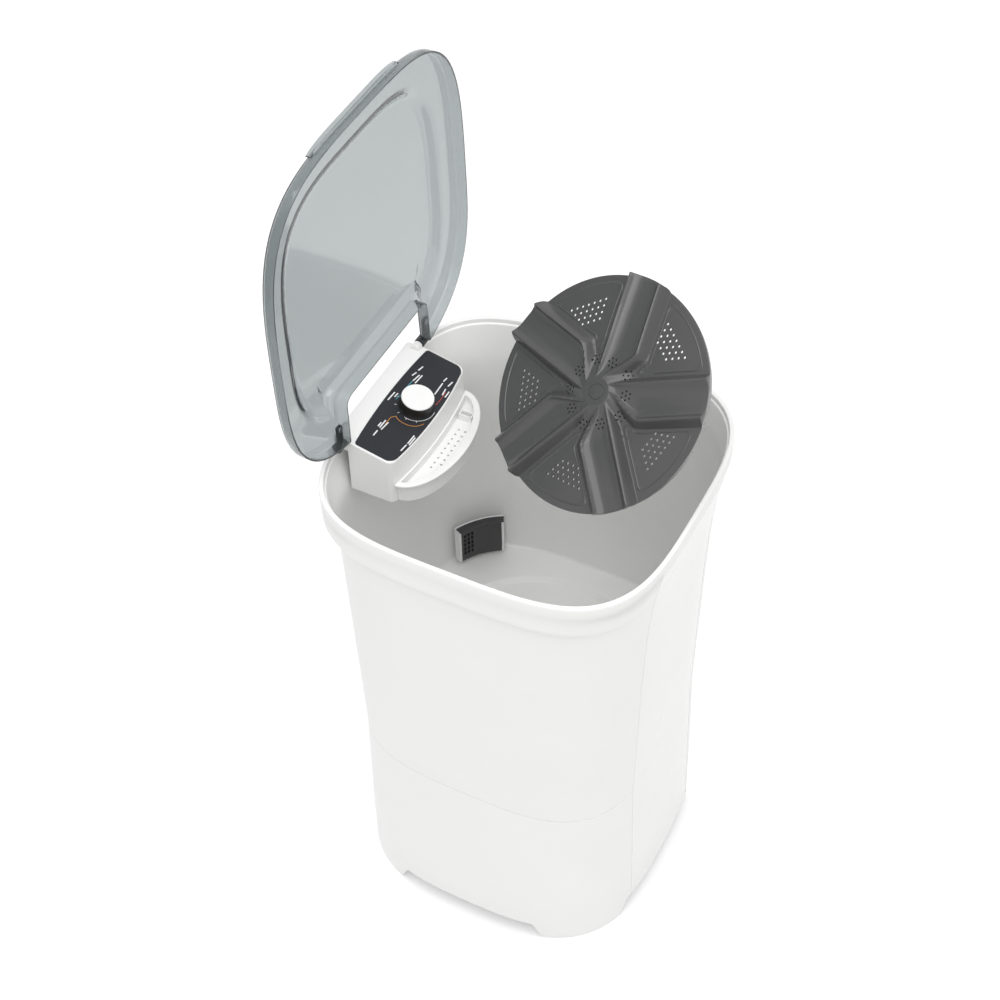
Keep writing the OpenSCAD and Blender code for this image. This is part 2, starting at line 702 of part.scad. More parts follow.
// Run capacitor in its clip under the bracket
cap_r = 20;
cap_l = 70;
cap_x = 105;
cap_y = 75;
module capacitor() {
    color("white") translate([cap_x, cap_y, plate_z - cap_l])
        cylinder(r = cap_r, h = cap_l, $fn = 64);
}
module capacitor_clip() {
    color("silver") translate([cap_x, cap_y, plate_z - cap_l / 2]) difference() {
        cylinder(r = cap_r + cover_t + run_gap / 3, h = cap_l / 2, $fn = 64);
        translate([0, 0, -over]) cylinder(r = cap_r + run_gap / 3, h = cap_l / 2 + 2 * over, $fn = 64);
    }
}

// Drain elbow from the tank's recess to a spout behind a collar on the skirt's back
outlet_r = 14;
outlet_z = 330;
outlet_l = 20;
collar_t = 4;
elbow_r = drain_r - run_gap;
collar_y = back_y(drain_x, outlet_z) + joint_gap;
outlet_y = collar_y + collar_t + outlet_l;
module drain_elbow() {
    color("gray") translate([drain_x, drain_y, 0]) difference() {
        union() {
            translate([0, 0, outlet_z]) cylinder(r = elbow_r, h = recess_z - outlet_z - joint_gap, $fn = 64);
            translate([0, 0, floor_low_z - 2 * bracket_t])
                cylinder(r = drain_r + wall_t, h = 2 * bracket_t - run_gap, $fn = 64);
            translate([0, 0, outlet_z]) sphere(r = elbow_r, $fn = 64);
            translate([0, 0, outlet_z]) towards_back() cylinder(r = outlet_r, h = outlet_y - drain_y, $fn = 64);
            translate([0, collar_y - drain_y, outlet_z]) towards_back()
                cylinder(r = outlet_r + collar_t, h = collar_t, $fn = 64);
        }
        translate([0, 0, outlet_z]) cylinder(r = outlet_r - wall_t / 2, h = recess_z - outlet_z, $fn = 64);
        translate([0, 0, outlet_z]) towards_back()
            cylinder(r = outlet_r - wall_t, h = outlet_y - drain_y + over, $fn = 64);
    }
}
grille_t = 2;
grille_holes = 6;
module drain_grille() {
    color("lightgray") translate([drain_x, drain_y, recess_z]) difference() {
        cylinder(r = drain_r + wall_t, h = grille_t, $fn = 64);
        for (i = [0 : grille_holes - 1]) rotate(2 * half_turn * i / grille_holes)
            translate([drain_r / 2, 0, -over]) cylinder(r = drain_r / 6, h = grille_t + 2 * over, $fn = 24);
        translate([0, 0, -over]) cylinder(r = drain_r / 6, h = grille_t + 2 * over, $fn = 24);
    }
}

// Gland for the mains lead in the skirt's back
gland_in = 107;
gland_x = base_w / 2 - gland_in;
gland_z = 120;
gland_r = 9;
gland_flange_r = 13;
module cord_gland() {
    color("dimgray") translate([gland_x, back_y(gland_x, gland_z), gland_z]) towards_back() difference() {
        union() {
            translate([0, 0, -3 * wall_t]) cylinder(r = gland_r - run_gap, h = 5 * wall_t, $fn = 48);
            translate([0, 0, 2 * wall_t - run_gap]) cylinder(r = gland_flange_r, h = cover_t, $fn = 48);
        }
        translate([0, 0, -3 * wall_t - over]) cylinder(r = gland_r / 2, h = 6 * wall_t, $fn = 48);
    }
}

// Console: a sloping box over the rim's back, open below
slope = atan((console_rear_up - console_front_up) / console_face_d);
console_front_z = rim_z + console_front_up;
console_rear_z = rim_z + console_rear_up;
console_low_z = rim_z - console_down;
console_face_y = console_y + console_face_d;
console_back_y = half_d - rim_top_w;
console_inner_y = hinge_y - joint_gap - joint_gap;
seat_z = rim_z + run_gap;
module along_x(w, points) {
    translate([-w / 2, 0, 0]) rotate([right_angle, 0, right_angle]) linear_extrude(height = w) polygon(points);
}
module on_face(x, y) {
    translate([x, y, console_front_z + (y - console_y) * tan(slope)]) rotate([slope, 0, 0]) children();
}
shelf_w = 12;
shelf_d = 34;
shelf_share = 0.25;
shelf_x = console_w * shelf_share;
shelf_t = 5;
boss_l = 14;
module across() {
    rotate([0, right_angle, 0]) children();
}
module corner_cut(side) {
    translate([side * (console_w / 2 - console_corner), console_y + console_corner, console_low_z - over])
        difference() {
            translate([side > 0 ? 0 : -console_corner - over, -console_corner - over, 0])
                cube([console_corner + over, console_corner + over, console_down + console_rear_up + 2 * over]);
            translate([0, 0, -over])
                cylinder(r = console_corner, h = console_down + console_rear_up + 4 * over, $fn = 64);
        }
}
module console_housing() {
    color("white") difference() {
        union() {
            along_x(console_w, [[console_y, console_low_z], [console_inner_y - joint_gap, console_low_z],
                [console_inner_y - joint_gap, seat_z], [console_back_y, seat_z],
                [console_back_y, console_rear_z - console_t], [console_back_y - console_t, console_rear_z],
                [console_face_y, console_rear_z], [console_y, console_front_z]]);
            for (side = [-1, 1]) translate([side * shelf_x, 0, 0])
                along_x(shelf_w, [[console_y - shelf_d, console_low_z - shelf_t],
                    [console_y + console_t, console_low_z - shelf_t], [console_y + console_t, console_low_z],
                    [console_y - shelf_d, console_low_z]]);
            for (side = [-1, 1]) translate([side * (console_w / 2 - boss_l / 2), hinge_y, rim_z + hinge_up])
                across() cylinder(r = knuckle_r - joint_gap, h = boss_l, center = true, $fn = 64);
        }
        for (side = [-1, 1]) corner_cut(side);
        along_x(console_w - 2 * console_t - 2 * boss_l, [[console_y + console_t, console_low_z - over],
            [console_inner_y - console_t, console_low_z - over],
            [console_inner_y - console_t, console_rear_z - console_t / cos(slope)],
            [console_face_y, console_rear_z - console_t / cos(slope)],
            [console_y + console_t, console_front_z + console_t * tan(slope) - console_t / cos(slope)]]);
        on_face(knob_x, knob_y) translate([0, 0, -2 * console_t])
            cylinder(r = dial_shaft_r + fit_gap, h = 3 * console_t, $fn = 64);
        hinge_bores(pin_r + fit_gap, console_w / 2 - boss_l, boss_l + over);
    }
}
module hinge_bores(r, x, l) {
    for (side = [-1, 1]) translate([side * (x + l / 2), hinge_y, rim_z + hinge_up]) across()
        cylinder(r = r, h = l, center = true, $fn = 64);
}
knuckle_x = console_w / 2 + run_gap + joint_gap;
module hinge_pins() {
    color("dimgray") hinge_bores(pin_r, console_w / 2 - boss_l + joint_gap, boss_l + knuckle_l + joint_gap);
}
label_w = console_w - 2 * label_border;
label_d = console_face_d / cos(slope) - label_border;
label_round = 14;
label_corner = 3;
module console_label() {
    color("darkslategray") on_face(0, console_y) difference() {
        translate([0, label_border / 2, fit_gap]) linear_extrude(height = label_t) hull() for (side = [-1, 1]) {
            translate([side * (label_w / 2 - label_round), label_round]) circle(r = label_round, $fn = 32);
            translate([side * (label_w / 2 - label_corner), label_d - label_corner])
                circle(r = label_corner, $fn = 32);
        }
        translate([knob_x, (knob_y - console_y) / cos(slope), -over])
            cylinder(r = dial_shaft_r + joint_gap, h = label_t + 2 * over, $fn = 64);
    }
}
timer_top = -console_t - run_gap;
module timer_body() {
    color("beige") on_face(knob_x, knob_y) difference() {
        translate([-timer_w / 2, -timer_w / 2 + joint_gap, timer_top - timer_h])
            cube([timer_w, timer_w, timer_h]);
        translate([0, 0, timer_top - timer_h / 2]) cylinder(r = dial_shaft_r + fit_gap, h = timer_h, $fn = 64);
    }
}
dial_shaft_up = 14;
module timer_shaft() {
    color("silver") on_face(knob_x, knob_y) translate([0, 0, timer_top - timer_h / 2 + run_gap])
        cylinder(r = dial_shaft_r, h = dial_shaft_up - timer_top + timer_h / 2, $fn = 64);
}
knob_low = label_t + run_gap;
knob_cap_t = 2.5;
knob_bore_up = dial_shaft_up + run_gap - knob_low;
module knob() {
    color("#1e1c1b") on_face(knob_x, knob_y) translate([0, 0, knob_low]) rotate_extrude($fn = 96)
        polygon([[0, knob_bore_up], [dial_shaft_r + fit_gap, knob_bore_up],
            [dial_shaft_r + fit_gap, 0], [knob_r + joint_gap, 0], [knob_r + joint_gap, joint_gap],
            [knob_r, 2 * joint_gap], [knob_r - joint_gap, knob_h], [0, knob_h]]);
}
module knob_cap() {
    color("white") on_face(knob_x, knob_y) translate([0, 0, knob_low + knob_h]) rotate_extrude($fn = 96)
        polygon([[0, 0], [knob_r - joint_gap, 0], [knob_r - joint_gap, knob_cap_t - joint_gap],
            [knob_r - 2 * joint_gap, knob_cap_t], [0, knob_cap_t]]);
}

// Lid, drawn closed and then stood open about the hinge axis
module opened() {
    translate([0, hinge_y, rim_z + hinge_up]) rotate([-lid_open, 0, 0])
        translate([0, -hinge_y, -rim_z - hinge_up]) children();
}
lid_top_z = rim_z + hinge_up;
lid_low_z = lid_top_z - lid_h;
notch_y = console_y - 2 * joint_gap - run_gap;
lid_a = half_w - lid_inset;
lid_front = half_d - lid_inset;
lid_mid_y = 20;
notch_steps = 6;
lid_steps = 96;
notch_round_share = 0.16;
near_share = 0.25;
// Outline of the lid: round the front from one rear corner to the other, then along the console's notch
function lid_point(t, inset) =
    let (a = lid_a - inset, rear = sin(t) >= 0, p = rear ? lid_rear_power : rim_power,
        b = rear ? lid_rear_y - lid_mid_y - inset : lid_front + lid_mid_y - inset)
    [a * signed_power(cos(t), p), lid_mid_y + b * signed_power(sin(t), p)];
function lid_outline(inset, notch_inset, z) =
    let (w0 = notch_rear_w + notch_inset, w1 = notch_w + notch_inset, y1 = notch_y - notch_inset,
        a = lid_a - inset, b = lid_rear_y - lid_mid_y - inset,
        t1 = acos(pow(w0 / a, lid_rear_power / 2)), y0 = lid_mid_y + b * signed_power(sin(t1), lid_rear_power),
        round = notch_round_share,
        corner = [for (i = [0 : notch_steps]) let (t = right_angle * i / notch_steps)
            [w1 + (w0 - w1) * round - w1 * round * (1 - cos(t)), y1 + (y0 - y1) * round * (1 - sin(t))]])
    concat(
        [for (i = [0 : lid_steps])
            let (t = t1 - (half_turn + 2 * t1) * i / lid_steps, point = lid_point(t, inset))
            [-point[0], point[1], z]],
        [for (point = corner) [point[0], point[1], z]],
        [for (i = [notch_steps : -1 : 0]) [-corner[i][0], corner[i][1], z]]);
module lid() {
    edge = dome_margin;
    near = dome_margin * near_share;
    near_top = near + dome_slope_w * near_share;
    rings = [
        lid_outline(0, 0, lid_low_z),
        lid_outline(0, 0, lid_top_z - 2 * lid_t),
        lid_outline(lid_t, 0, lid_top_z),
        lid_outline(edge, near, lid_top_z),
        lid_outline(edge + dome_slope_w, near_top, lid_top_z + dome_h)];
    inside = [
        lid_outline(lid_t, lid_t, lid_low_z),
        lid_outline(lid_t, lid_t, lid_top_z - 2 * lid_t),
        lid_outline(2 * lid_t, lid_t, lid_top_z - lid_t),
        lid_outline(edge + lid_t, near + lid_t, lid_top_z - lid_t),
        lid_outline(edge + dome_slope_w + lid_t, near_top + lid_t, lid_top_z + dome_h - lid_t)];
    color([0.5, 0.54, 0.55, 0.45]) opened() difference() {
        skin(concat([for (i = [len(inside) - 1 : -1 : 0]) inside[i]], rings), false);
        for (side = [-1, 1]) translate([side * arm_x, 0, 0]) arm_strap(run_gap);
    }
}
arm_x = knuckle_x + knuckle_l - arm_w / 2;
arm_top_z = lid_top_z - lid_t - run_gap;
module arm_strap(grow) {
    translate([-arm_w / 2 - grow, hinge_y - arm_l - grow, arm_top_z - arm_t - grow])
        cube([arm_w + 2 * grow, arm_l + 2 * grow, arm_t + grow + (grow > 0 ? run_gap : 0)]);
}

grip_taper_share = 0.6;
grip_taper_power = 8;
module lid_grip() {
    z = lid_top_z - grip_h + joint_gap;
    steps = 16;
    function edge(x, out) = front_y(x, lid_a + out, lid_front + lid_mid_y + out, rim_power) + lid_mid_y;
    function taper(x) = grip_taper_share * grip_d * pow(abs(x) / (grip_w / 2), grip_taper_power);
    xs = [for (i = [0 : steps]) grip_w / 2 * (2 * i / steps - 1)];
    color([0.35, 0.38, 0.39, 0.6]) opened() translate([0, 0, z]) linear_extrude(height = grip_h)
        polygon(concat([for (x = xs) [x, edge(x, grip_d) + taper(x)]],
            [for (i = [steps : -1 : 0]) [xs[i], edge(xs[i], run_gap)]]));
}

// Hinge arms: a knuckle on the pin and a strap under the lid's edge
module hinge_arms() {
    color("#2e3233") opened() for (side = [-1, 1]) difference() {
        union() {
            translate([side * (knuckle_x + knuckle_l / 2), hinge_y, rim_z + hinge_up]) across()
                cylinder(r = knuckle_r, h = knuckle_l, center = true, $fn = 64);
            translate([side * arm_x, 0, 0]) arm_strap(0);
        }
        hinge_bores(pin_r + fit_gap, knuckle_x - over, knuckle_l + 2 * over);
        translate([side * arm_x, hinge_y - arm_l + 2 * bolt_r, lid_top_z - lid_t - arm_t - 2 * over])
            cylinder(r = bolt_r + run_gap, h = arm_t + 3 * over, $fn = 32);
    }
}
module arm_screws() {
    color("gainsboro") opened() for (side = [-1, 1])
        translate([side * arm_x, hinge_y - arm_l + 2 * bolt_r, arm_top_z - arm_t - bolt_r / 2]) {
            cylinder(r = bolt_r, h = arm_t + bolt_r / 2, $fn = 32);
            cylinder(r = 2 * bolt_r - joint_gap, h = bolt_r / 2, $fn = 32);
        }
}

// Dispenser cup: a half oval that hangs on the console's front, with a sieve floor and open below
cup_top_z = rim_z - cup_drop;
cup_low_z = console_low_z + run_gap;
cup_back_y = console_y - run_gap;
cup_floor_z = cup_top_z - cup_depth;
oval_step = 6;
module half_oval(a, b, z, h) {
    translate([0, cup_back_y, z]) linear_extrude(height = h)
        polygon([for (t = [half_turn : oval_step : 2 * half_turn]) [a * cos(t), b * sin(t)]]);
}
sieve_pitch = 12;
sieve_side = floor((cup_w - cup_rim_w) / (2 * sieve_pitch));
module dispenser_cup() {
    inner_w = cup_w - cup_rim_w;
    inner_d = cup_d - cup_rim_w;
    color("whitesmoke") difference() {
        union() {
            half_oval(inner_w + cup_t, inner_d + cup_t, cup_low_z, cup_top_z - cup_low_z - joint_gap);
            half_oval(cup_w, cup_d, cup_top_z - cup_t - joint_gap, cup_t + joint_gap);
        }
        translate([0, -cup_t, 0]) {
            half_oval(inner_w, inner_d - cup_t, cup_floor_z, cup_depth + over);
            half_oval(inner_w, inner_d - cup_t, cup_low_z - over, cup_floor_z - cup_t - cup_low_z + over);
        }
        for (i = [-sieve_side : sieve_side]) for (j = [1 : 2])
            translate([i * sieve_pitch, cup_back_y - cup_t - j * sieve_pitch, cup_floor_z - cup_t - over])
                cylinder(r = sieve_r, h = cup_t + 2 * over, $fn = 24);
    }
}
chute_in = 52;
chute_w = 24;
chute_h = 12;
module softener_chute() {
    y = cup_back_y - cup_t - run_gap - chute_w;
    color("whitesmoke") translate([cup_w - chute_in, y, cup_floor_z + run_gap]) difference() {
        cube([chute_w / 2, chute_w, chute_h]);
        translate([grille_t, grille_t, grille_t])
            cube([chute_w / 2 - 2 * grille_t, chute_w - 2 * grille_t, chute_h]);
    }
}

// Lint filter in the tank's rear corner: a hollow-fronted cartridge between two rails
filter_low_z = floor_z + 3 * wall_t;
function wall_reach(turn, z) = pow(pow(abs(cos(turn)) / wall_a(z), wall_power(z))
    + pow(abs(sin(turn)) / wall_back(z), wall_power(z)), -1 / wall_power(z)) - wall_t;
filter_reach = wall_reach(filter_turn, filter_low_z) - filter_in;
module filter_place(z) {
    rotate(filter_turn) translate([filter_reach - filter_r, 0, z]) children();
}
module arc_wall(r, t, from, to, h) {
    rotate([0, 0, from]) rotate_extrude(angle = to - from, $fn = 180) translate([r, 0]) square([t, h]);
}
frame_t = 4;
rail_angle = 0.2;
rib_angle = 3;
module filter_frame() {
    foot_h = filter_low_z - floor_z;
    inner_angle = filter_angle + rail_angle;
    color("whitesmoke") filter_place(filter_low_z) union() {
        difference() {
            arc_wall(filter_r, filter_t + frame_t, -frame_angle, frame_angle, filter_h);
            translate([0, 0, -over]) arc_wall(filter_r - over, filter_t + run_gap + over,
                -inner_angle, inner_angle, filter_h + 2 * over);
        }
        translate([0, 0, -foot_h]) arc_wall(filter_r + filter_t + joint_gap, frame_t / 2,
            -filter_angle, filter_angle, 2 * foot_h);
        arc_wall(filter_r + filter_t + joint_gap, 3 * frame_t, -rib_angle, rib_angle, filter_h - joint_gap);
    }
}
window_rows = 5;
window_cols = 3;
window_w = 5;
window_h = 8;
window_bar = 3.5;
window_up = 16;
first_angle = 3;
window_angle = 3.2;
end_angle = 1.5;
module lint_filter() {
    color("#3a3a3a") filter_place(filter_low_z + run_gap) difference() {
        union() {
            arc_wall(filter_r, filter_t, -filter_angle, filter_angle, filter_h + joint_gap);
            translate([0, 0, filter_h])
                arc_wall(filter_r - frame_t, filter_t + frame_t - joint_gap, -frame_angle, frame_angle, frame_t / 2);
        }
        translate([0, 0, frame_t]) arc_wall(filter_r + frame_t, filter_t - 2 * frame_t,
            end_angle - filter_angle, filter_angle - end_angle, filter_h - 2 * frame_t);
        for (i = [0 : window_cols - 1]) for (j = [0 : window_rows - 1])
            rotate(filter_angle - first_angle - window_angle * i)
                translate([filter_r - over, -window_w / 2, window_up + (window_h + window_bar) * j])
                    cube([frame_t + 2 * over, window_w, window_h]);
    }
}
module filter_mesh() {
    color("gainsboro") filter_place(filter_low_z + run_gap + frame_t + run_gap)
        arc_wall(filter_r + frame_t + run_gap, joint_gap, 2 * end_angle - filter_angle,
            filter_angle - 2 * end_angle, filter_h - 3 * frame_t);
}

// Agitator, drawn seated on the drive shaft and then swung to where it stands taken out
disc_z = floor_z + seat_rise;
shown_axis = [sin(shown_tilt) * cos(shown_turn), sin(shown_tilt) * sin(shown_turn), cos(shown_tilt)];
seat_to_shown = [shown_x, shown_y, shown_z - disc_z];
swing_raw = cross([0, 0, 1] - shown_axis, seat_to_shown);
swing_axis = swing_raw / norm(swing_raw);
function flat(v) = v - swing_axis * (v * swing_axis);
swing_from = flat([0, 0, 1]);
swing_to = flat(shown_axis);
swing_angle = atan2(swing_axis * cross(swing_from, swing_to), swing_from * swing_to);
swing_centre = [0, 0, disc_z] + seat_to_shown / 2
    + cross(swing_axis, seat_to_shown) / (2 * tan(swing_angle / 2));
module taken_out() {
    translate(swing_centre) rotate(a = swing_angle, v = swing_axis) translate(-swing_centre)
        translate([0, 0, disc_z]) children();
}
cap_disc_r = 12;
cap_disc_t = 2;
module agitator_cap() {
    color("#4a4a4a") taken_out() translate([0, 0, hub_h - cap_disc_t]) rotate_extrude($fn = 96)
        polygon([[0, 0], [cap_disc_r, 0], [cap_disc_r, cap_disc_t / 2], [cap_disc_r - joint_gap, cap_disc_t],
            [0, cap_disc_t]]);
}
insert_r = 19;
insert_up = 8;
insert_low = head_low_z + run_gap - disc_z;
insert_h = head_h + insert_up;
module agitator_insert() {
    color("silver") taken_out() difference() {
        translate([0, 0, insert_low]) cylinder(r = insert_r, h = insert_h, $fn = 96);
        translate([0, 0, insert_low - over / 2])
            cylinder(r1 = head_r + 2 * run_gap, r2 = head_tip_r + 2 * run_gap,
                h = head_h + joint_gap, $fn = 96);
    }
}
// One vane: a channel between two ridges, whose second ridge bends in towards the hub
vane_stations = 12;
vane_from = 14;
flank_shares = [0.8, 0.9];
trough_shares = [[0.12, 0.65], [0.3, 0.45], [0.75, 0.45], [0.93, 0.7]];
tail_shares = [0.25, 0.8];
root_share = 0.3;
function vane_ring(x) =
    let (out = (x - vane_from) / vane_bend, bend = ease(out), foot = -disc_t / 2,
        h = mix(hub_h - joint_gap, vane_h, clamp((x - vane_from) / (disc_r - vane_from))),
        near = vane_lead - vane_flank, far = mix(near - vane_flank / 2, vane_lead + vane_tail - vane_w, bend),
        last = (vane_lead - vane_w) * mix(root_share, 1, clamp(2 * out * narrow_share)))
    concat([[x, vane_lead, foot], [x, mix(vane_lead, near, flank_shares[0]), h * flank_shares[1]],
            [x, near, h]],
        [for (share = trough_shares) [x, mix(near, far, share[0]), h * mix(tail_shares[1], share[1], bend)]],
        [[x, far, h], [x, mix(far, last, tail_shares[0]), h * tail_shares[1]], [x, last, foot]]);
module vane() {
    far_x = disc_r + 2 * vane_out;
    skin([for (i = [0 : vane_stations]) vane_ring(mix(vane_from, far_x, i / vane_stations))], false);
}
hole_rows = 4;
hole_most = 7;
hole_turn = 31;
module hole_group() {
    for (row = [0 : hole_rows - 1]) {
        last = hole_most - row - 1;
        for (k = [0 : last])
            translate([disc_r - hole_in - row * hole_row_l, (k - last / 2) * hole_pitch, -disc_t - over])
                cylinder(r = hole_r, h = disc_t + 2 * over, $fn = 12);
    }
}
module agitator() {
    inner_r = disc_r - disc_taper - disc_t;
    reach = disc_r + vane_out;
    color("#545454") taken_out() difference() {
        union() {
            difference() {
                rotate_extrude($fn = 120) polygon([[0, hub_h], [0, -disc_t], [inner_r, -disc_t],
                    [inner_r, -disc_skirt_h], [disc_r - disc_taper, -disc_skirt_h], [disc_r, 0], [cone_r, 0],
                    [hub_r, hub_h]]);
                for (i = [0 : vane_count - 1]) rotate(vane_turn + hole_turn + 2 * half_turn * i / vane_count)
                    hole_group();
            }
            intersection() {
                for (i = [0 : vane_count - 1]) rotate(vane_turn + 2 * half_turn * i / vane_count) vane();
                rotate_extrude($fn = 120) polygon([[0, -disc_t], [disc_r - joint_gap, -disc_t],
                    [disc_r - joint_gap, 0], [reach, 2 * disc_t], [reach, 2 * vane_h], [0, 2 * vane_h]]);
            }
        }
        translate([0, 0, -disc_skirt_h - over])
            cylinder(r = insert_r + fit_gap, h = insert_low + insert_h + fit_gap + disc_skirt_h + over,
                $fn = 96);
        translate([0, 0, hub_h - cap_disc_t]) cylinder(r = cap_disc_r + run_gap, h = vane_h, $fn = 96);
    }
}

tank();
base_skirt();
front_panel();
rear_cover();
foot_pads();
drive_bracket();
bearing_housing();
upper_bearing();
lower_bearing();
shaft_seal();
motor_housing();
motor_end_cap();
v_belt();
capacitor();
capacitor_clip();
drain_elbow();
drain_grille();
cord_gland();
console_housing();
console_label();
timer_body();
hinge_pins();
filter_frame();
cover_screws();
flange_bolts();
motor_bolts();
drive_shaft();
driven_pulley();
pulley_nut();
motor_shaft();
motor_pulley();
motor_fan();
timer_shaft();
knob();
knob_cap();
lid();
lid_grip();
hinge_arms();
arm_screws();
dispenser_cup();
softener_chute();
lint_filter();
filter_mesh();
agitator_cap();
agitator();
agitator_insert();
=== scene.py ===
"""Looks of the top-loading washing machine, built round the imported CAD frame.

Sizes are in millimetres until mesh() turns them to metres.
"""
import json
import math

import bpy
import numpy as np
from mathutils import Matrix, Vector


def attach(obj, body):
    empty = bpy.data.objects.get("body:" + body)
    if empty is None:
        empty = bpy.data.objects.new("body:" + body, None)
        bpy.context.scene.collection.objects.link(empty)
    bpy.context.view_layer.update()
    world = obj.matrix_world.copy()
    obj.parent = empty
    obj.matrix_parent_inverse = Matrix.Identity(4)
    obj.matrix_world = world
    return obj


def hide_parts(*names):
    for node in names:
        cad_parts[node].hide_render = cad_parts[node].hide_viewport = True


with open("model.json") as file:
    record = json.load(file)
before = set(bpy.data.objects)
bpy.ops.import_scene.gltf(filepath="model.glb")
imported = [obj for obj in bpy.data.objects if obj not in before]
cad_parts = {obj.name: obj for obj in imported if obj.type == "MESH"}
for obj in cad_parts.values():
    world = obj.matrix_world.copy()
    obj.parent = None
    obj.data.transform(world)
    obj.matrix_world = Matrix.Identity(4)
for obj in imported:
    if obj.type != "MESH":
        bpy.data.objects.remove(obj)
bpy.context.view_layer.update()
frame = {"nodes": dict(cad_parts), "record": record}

NODES = frame["nodes"]
MM = 0.001

# Sizes, as in the part's source
RIM_Z, SEAM_Z, BASE_Z = 990.0, 375.0, 40.0
HALF_W, HALF_D = 285.0, 296.0
WALL, GAP, RUN = 3.5, 1.0, 0.3
BAND_Z = RIM_Z - 64.0
SHOULDER_Z = BAND_Z - 12.0
SHOULDER_W = HALF_W - 12.0 - WALL
PANEL_TOP = RIM_Z - 28.0
SINK = 3.5 + RUN
FLOOR_Z, RECESS_R, RECESS_Z, BORE_R = 436.0, 205.0, 428.0, 30.6
FOOT_X, FEET_H, FEET_BLEND = 203.0, 90.0, 24.0
# Half width of the sunk front, the height where the inner wall's own sink ends, the rim's roundness
WELL_HALF, WELL_TOP, RIM_P = 125.0, 900.0, 3.7
HINGE_Y, HINGE_Z, LID_OPEN = 268.0, RIM_Z + 21.0, 91.0
CONSOLE_Y, CONSOLE_FRONT, CONSOLE_REAR = 170.0, RIM_Z + 1.5, RIM_Z + 20.0
CONSOLE_LOW, FACE_D = RIM_Z - 86.0, 88.0
SLOPE = math.atan((CONSOLE_REAR - CONSOLE_FRONT) / FACE_D)


def mix(a, b, share):
    """Value that goes evenly from a to b as share goes from 0 to 1."""
    return a + (b - a) * share


def ease(v):
    """Smooth step from 0 to 1: 3 s^2 - 2 s^3, with s held between 0 and 1."""
    s = np.clip(v, 0, 1)
    return s * s * (3 - 2 * s)


def signed_power(v, p):
    """sign(v) |v|^(2/p), which turns a circle's cosine or sine into a superellipse's."""
    return np.sign(v) * np.abs(v) ** (2 / p)


def wall_at(z):
    """Half width, front depth, back depth and roundness of the cabinet's outside at height z."""
    if z < SEAM_Z:
        s = (z - BASE_Z) / (SEAM_Z - BASE_Z)
        depth = mix(277.0, 267.5, s)
        return mix(277.0, 262.0, s), depth, depth, mix(3.0, 3.35, s)
    s = (z - SEAM_Z) / (SHOULDER_Z - SEAM_Z)
    a = mix(262.0, SHOULDER_W, s)
    back = a + 5.5
    return a, back + 12.0 * min(1, max(0, s)) ** 6, back, mix(3.35, RIM_P, s)


def band_at(z):
    """The same for the band round the rim, between the shoulder and the panel's top."""
    zs = [SHOULDER_Z, BAND_Z - 6, BAND_Z + GAP, PANEL_TOP]
    rise = lambda low, high: np.interp(z, zs, [low, high - WALL, high - GAP, high - GAP / 2])
    _, front, back, _ = wall_at(SHOULDER_Z)
    return (rise(SHOULDER_W, HALF_W), np.interp(z, [SHOULDER_Z, PANEL_TOP], [front, HALF_D - GAP]),
            rise(back, HALF_D), RIM_P)


def front_depth(x, a, b, p):
    """Front of a superellipse at x: -b (1 - |x/a|^p)^(1/p)."""
    return -b * (1 - (np.abs(x) / a) ** p) ** (1 / p)


def outline(a, front, back, p, sink=0.0, front_count=40, side_count=400):
    """Closed superellipse |x/a|^p + |y/b|^p = 1, whose front stretch |x| < WELL_HALF may be sunk for
    the panel."""
    x0 = min(WELL_HALF, a * 0.6)
    x1 = x0 + GAP * min(1, a / HALF_W)
    t0 = math.acos((x1 / a) ** (p / 2))
    x = np.linspace(-x0, x0, front_count + 1)
    t = np.linspace(-t0, math.pi + t0, side_count + 1)
    b = np.where(np.sin(t) < 0, front, back)
    front_run = np.stack([x, front_depth(x, a, front, p) + sink], 1)
    side_run = np.stack([a * signed_power(np.cos(t), p), b * signed_power(np.sin(t), p)], 1)
    return np.concatenate([front_run, side_run])


def rounded(rows, radii, steps=6):
    """Profile rows as points, each corner turned into a quadratic arc of that reach."""
    rows = np.array(rows, float)
    out = [rows[0]]
    for i in range(1, len(rows) - 1):
        r = radii[i]
        if r <= 0:
            out.append(rows[i])
            continue
        a, b = rows[i - 1] - rows[i], rows[i + 1] - rows[i]
        a = rows[i] + a * min(0.48, r / max(np.linalg.norm(a), 1e-6))
        b = rows[i] + b * min(0.48, r / max(np.linalg.norm(b), 1e-6))
        for s in np.linspace(0, 1, steps + 1):
            out.append((1 - s) ** 2 * a + 2 * s * (1 - s) * rows[i] + s * s * b)
    out.append(rows[-1])
    return np.array(out)


# Meshes

def grid_quads(rows, cols, close_rows=False, close_cols=True):
    """Quads between neighbouring rows and columns of a grid, wrapping where a direction is closed."""
    i = np.arange(rows if close_rows else rows - 1)[:, None]
    j = np.arange(cols if close_cols else cols - 1)[None, :]
    i2, j2 = (i + 1) % rows, (j + 1) % cols
    quads = np.stack([i * cols + j, i * cols + j2, i2 * cols + j2, i2 * cols + j], -1)
    return quads.reshape(-1, 4)


def fill(data, points, faces):
    """Puts points in millimetres and face index arrays into a mesh."""
    corners = [face for part in faces for face in np.asarray(part).tolist()]
    data.from_pydata((np.asarray(points, float) * MM).tolist(), [], corners)


def mesh(name, points, faces, material, body, replaces=(), smooth=40.0):
    """Piece from points in millimetres and face index arrays, its edges kept sharp over that angle."""
    data = bpy.data.meshes.new(name)
    fill(data, points, faces)
    data.update()
    piece = bpy.data.objects.new(name, data)
    bpy.context.scene.collection.objects.link(piece)
    data.materials.append(material)
    finish(piece, smooth)
    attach(piece, body)
    if replaces:
        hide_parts(*replaces)
    return piece


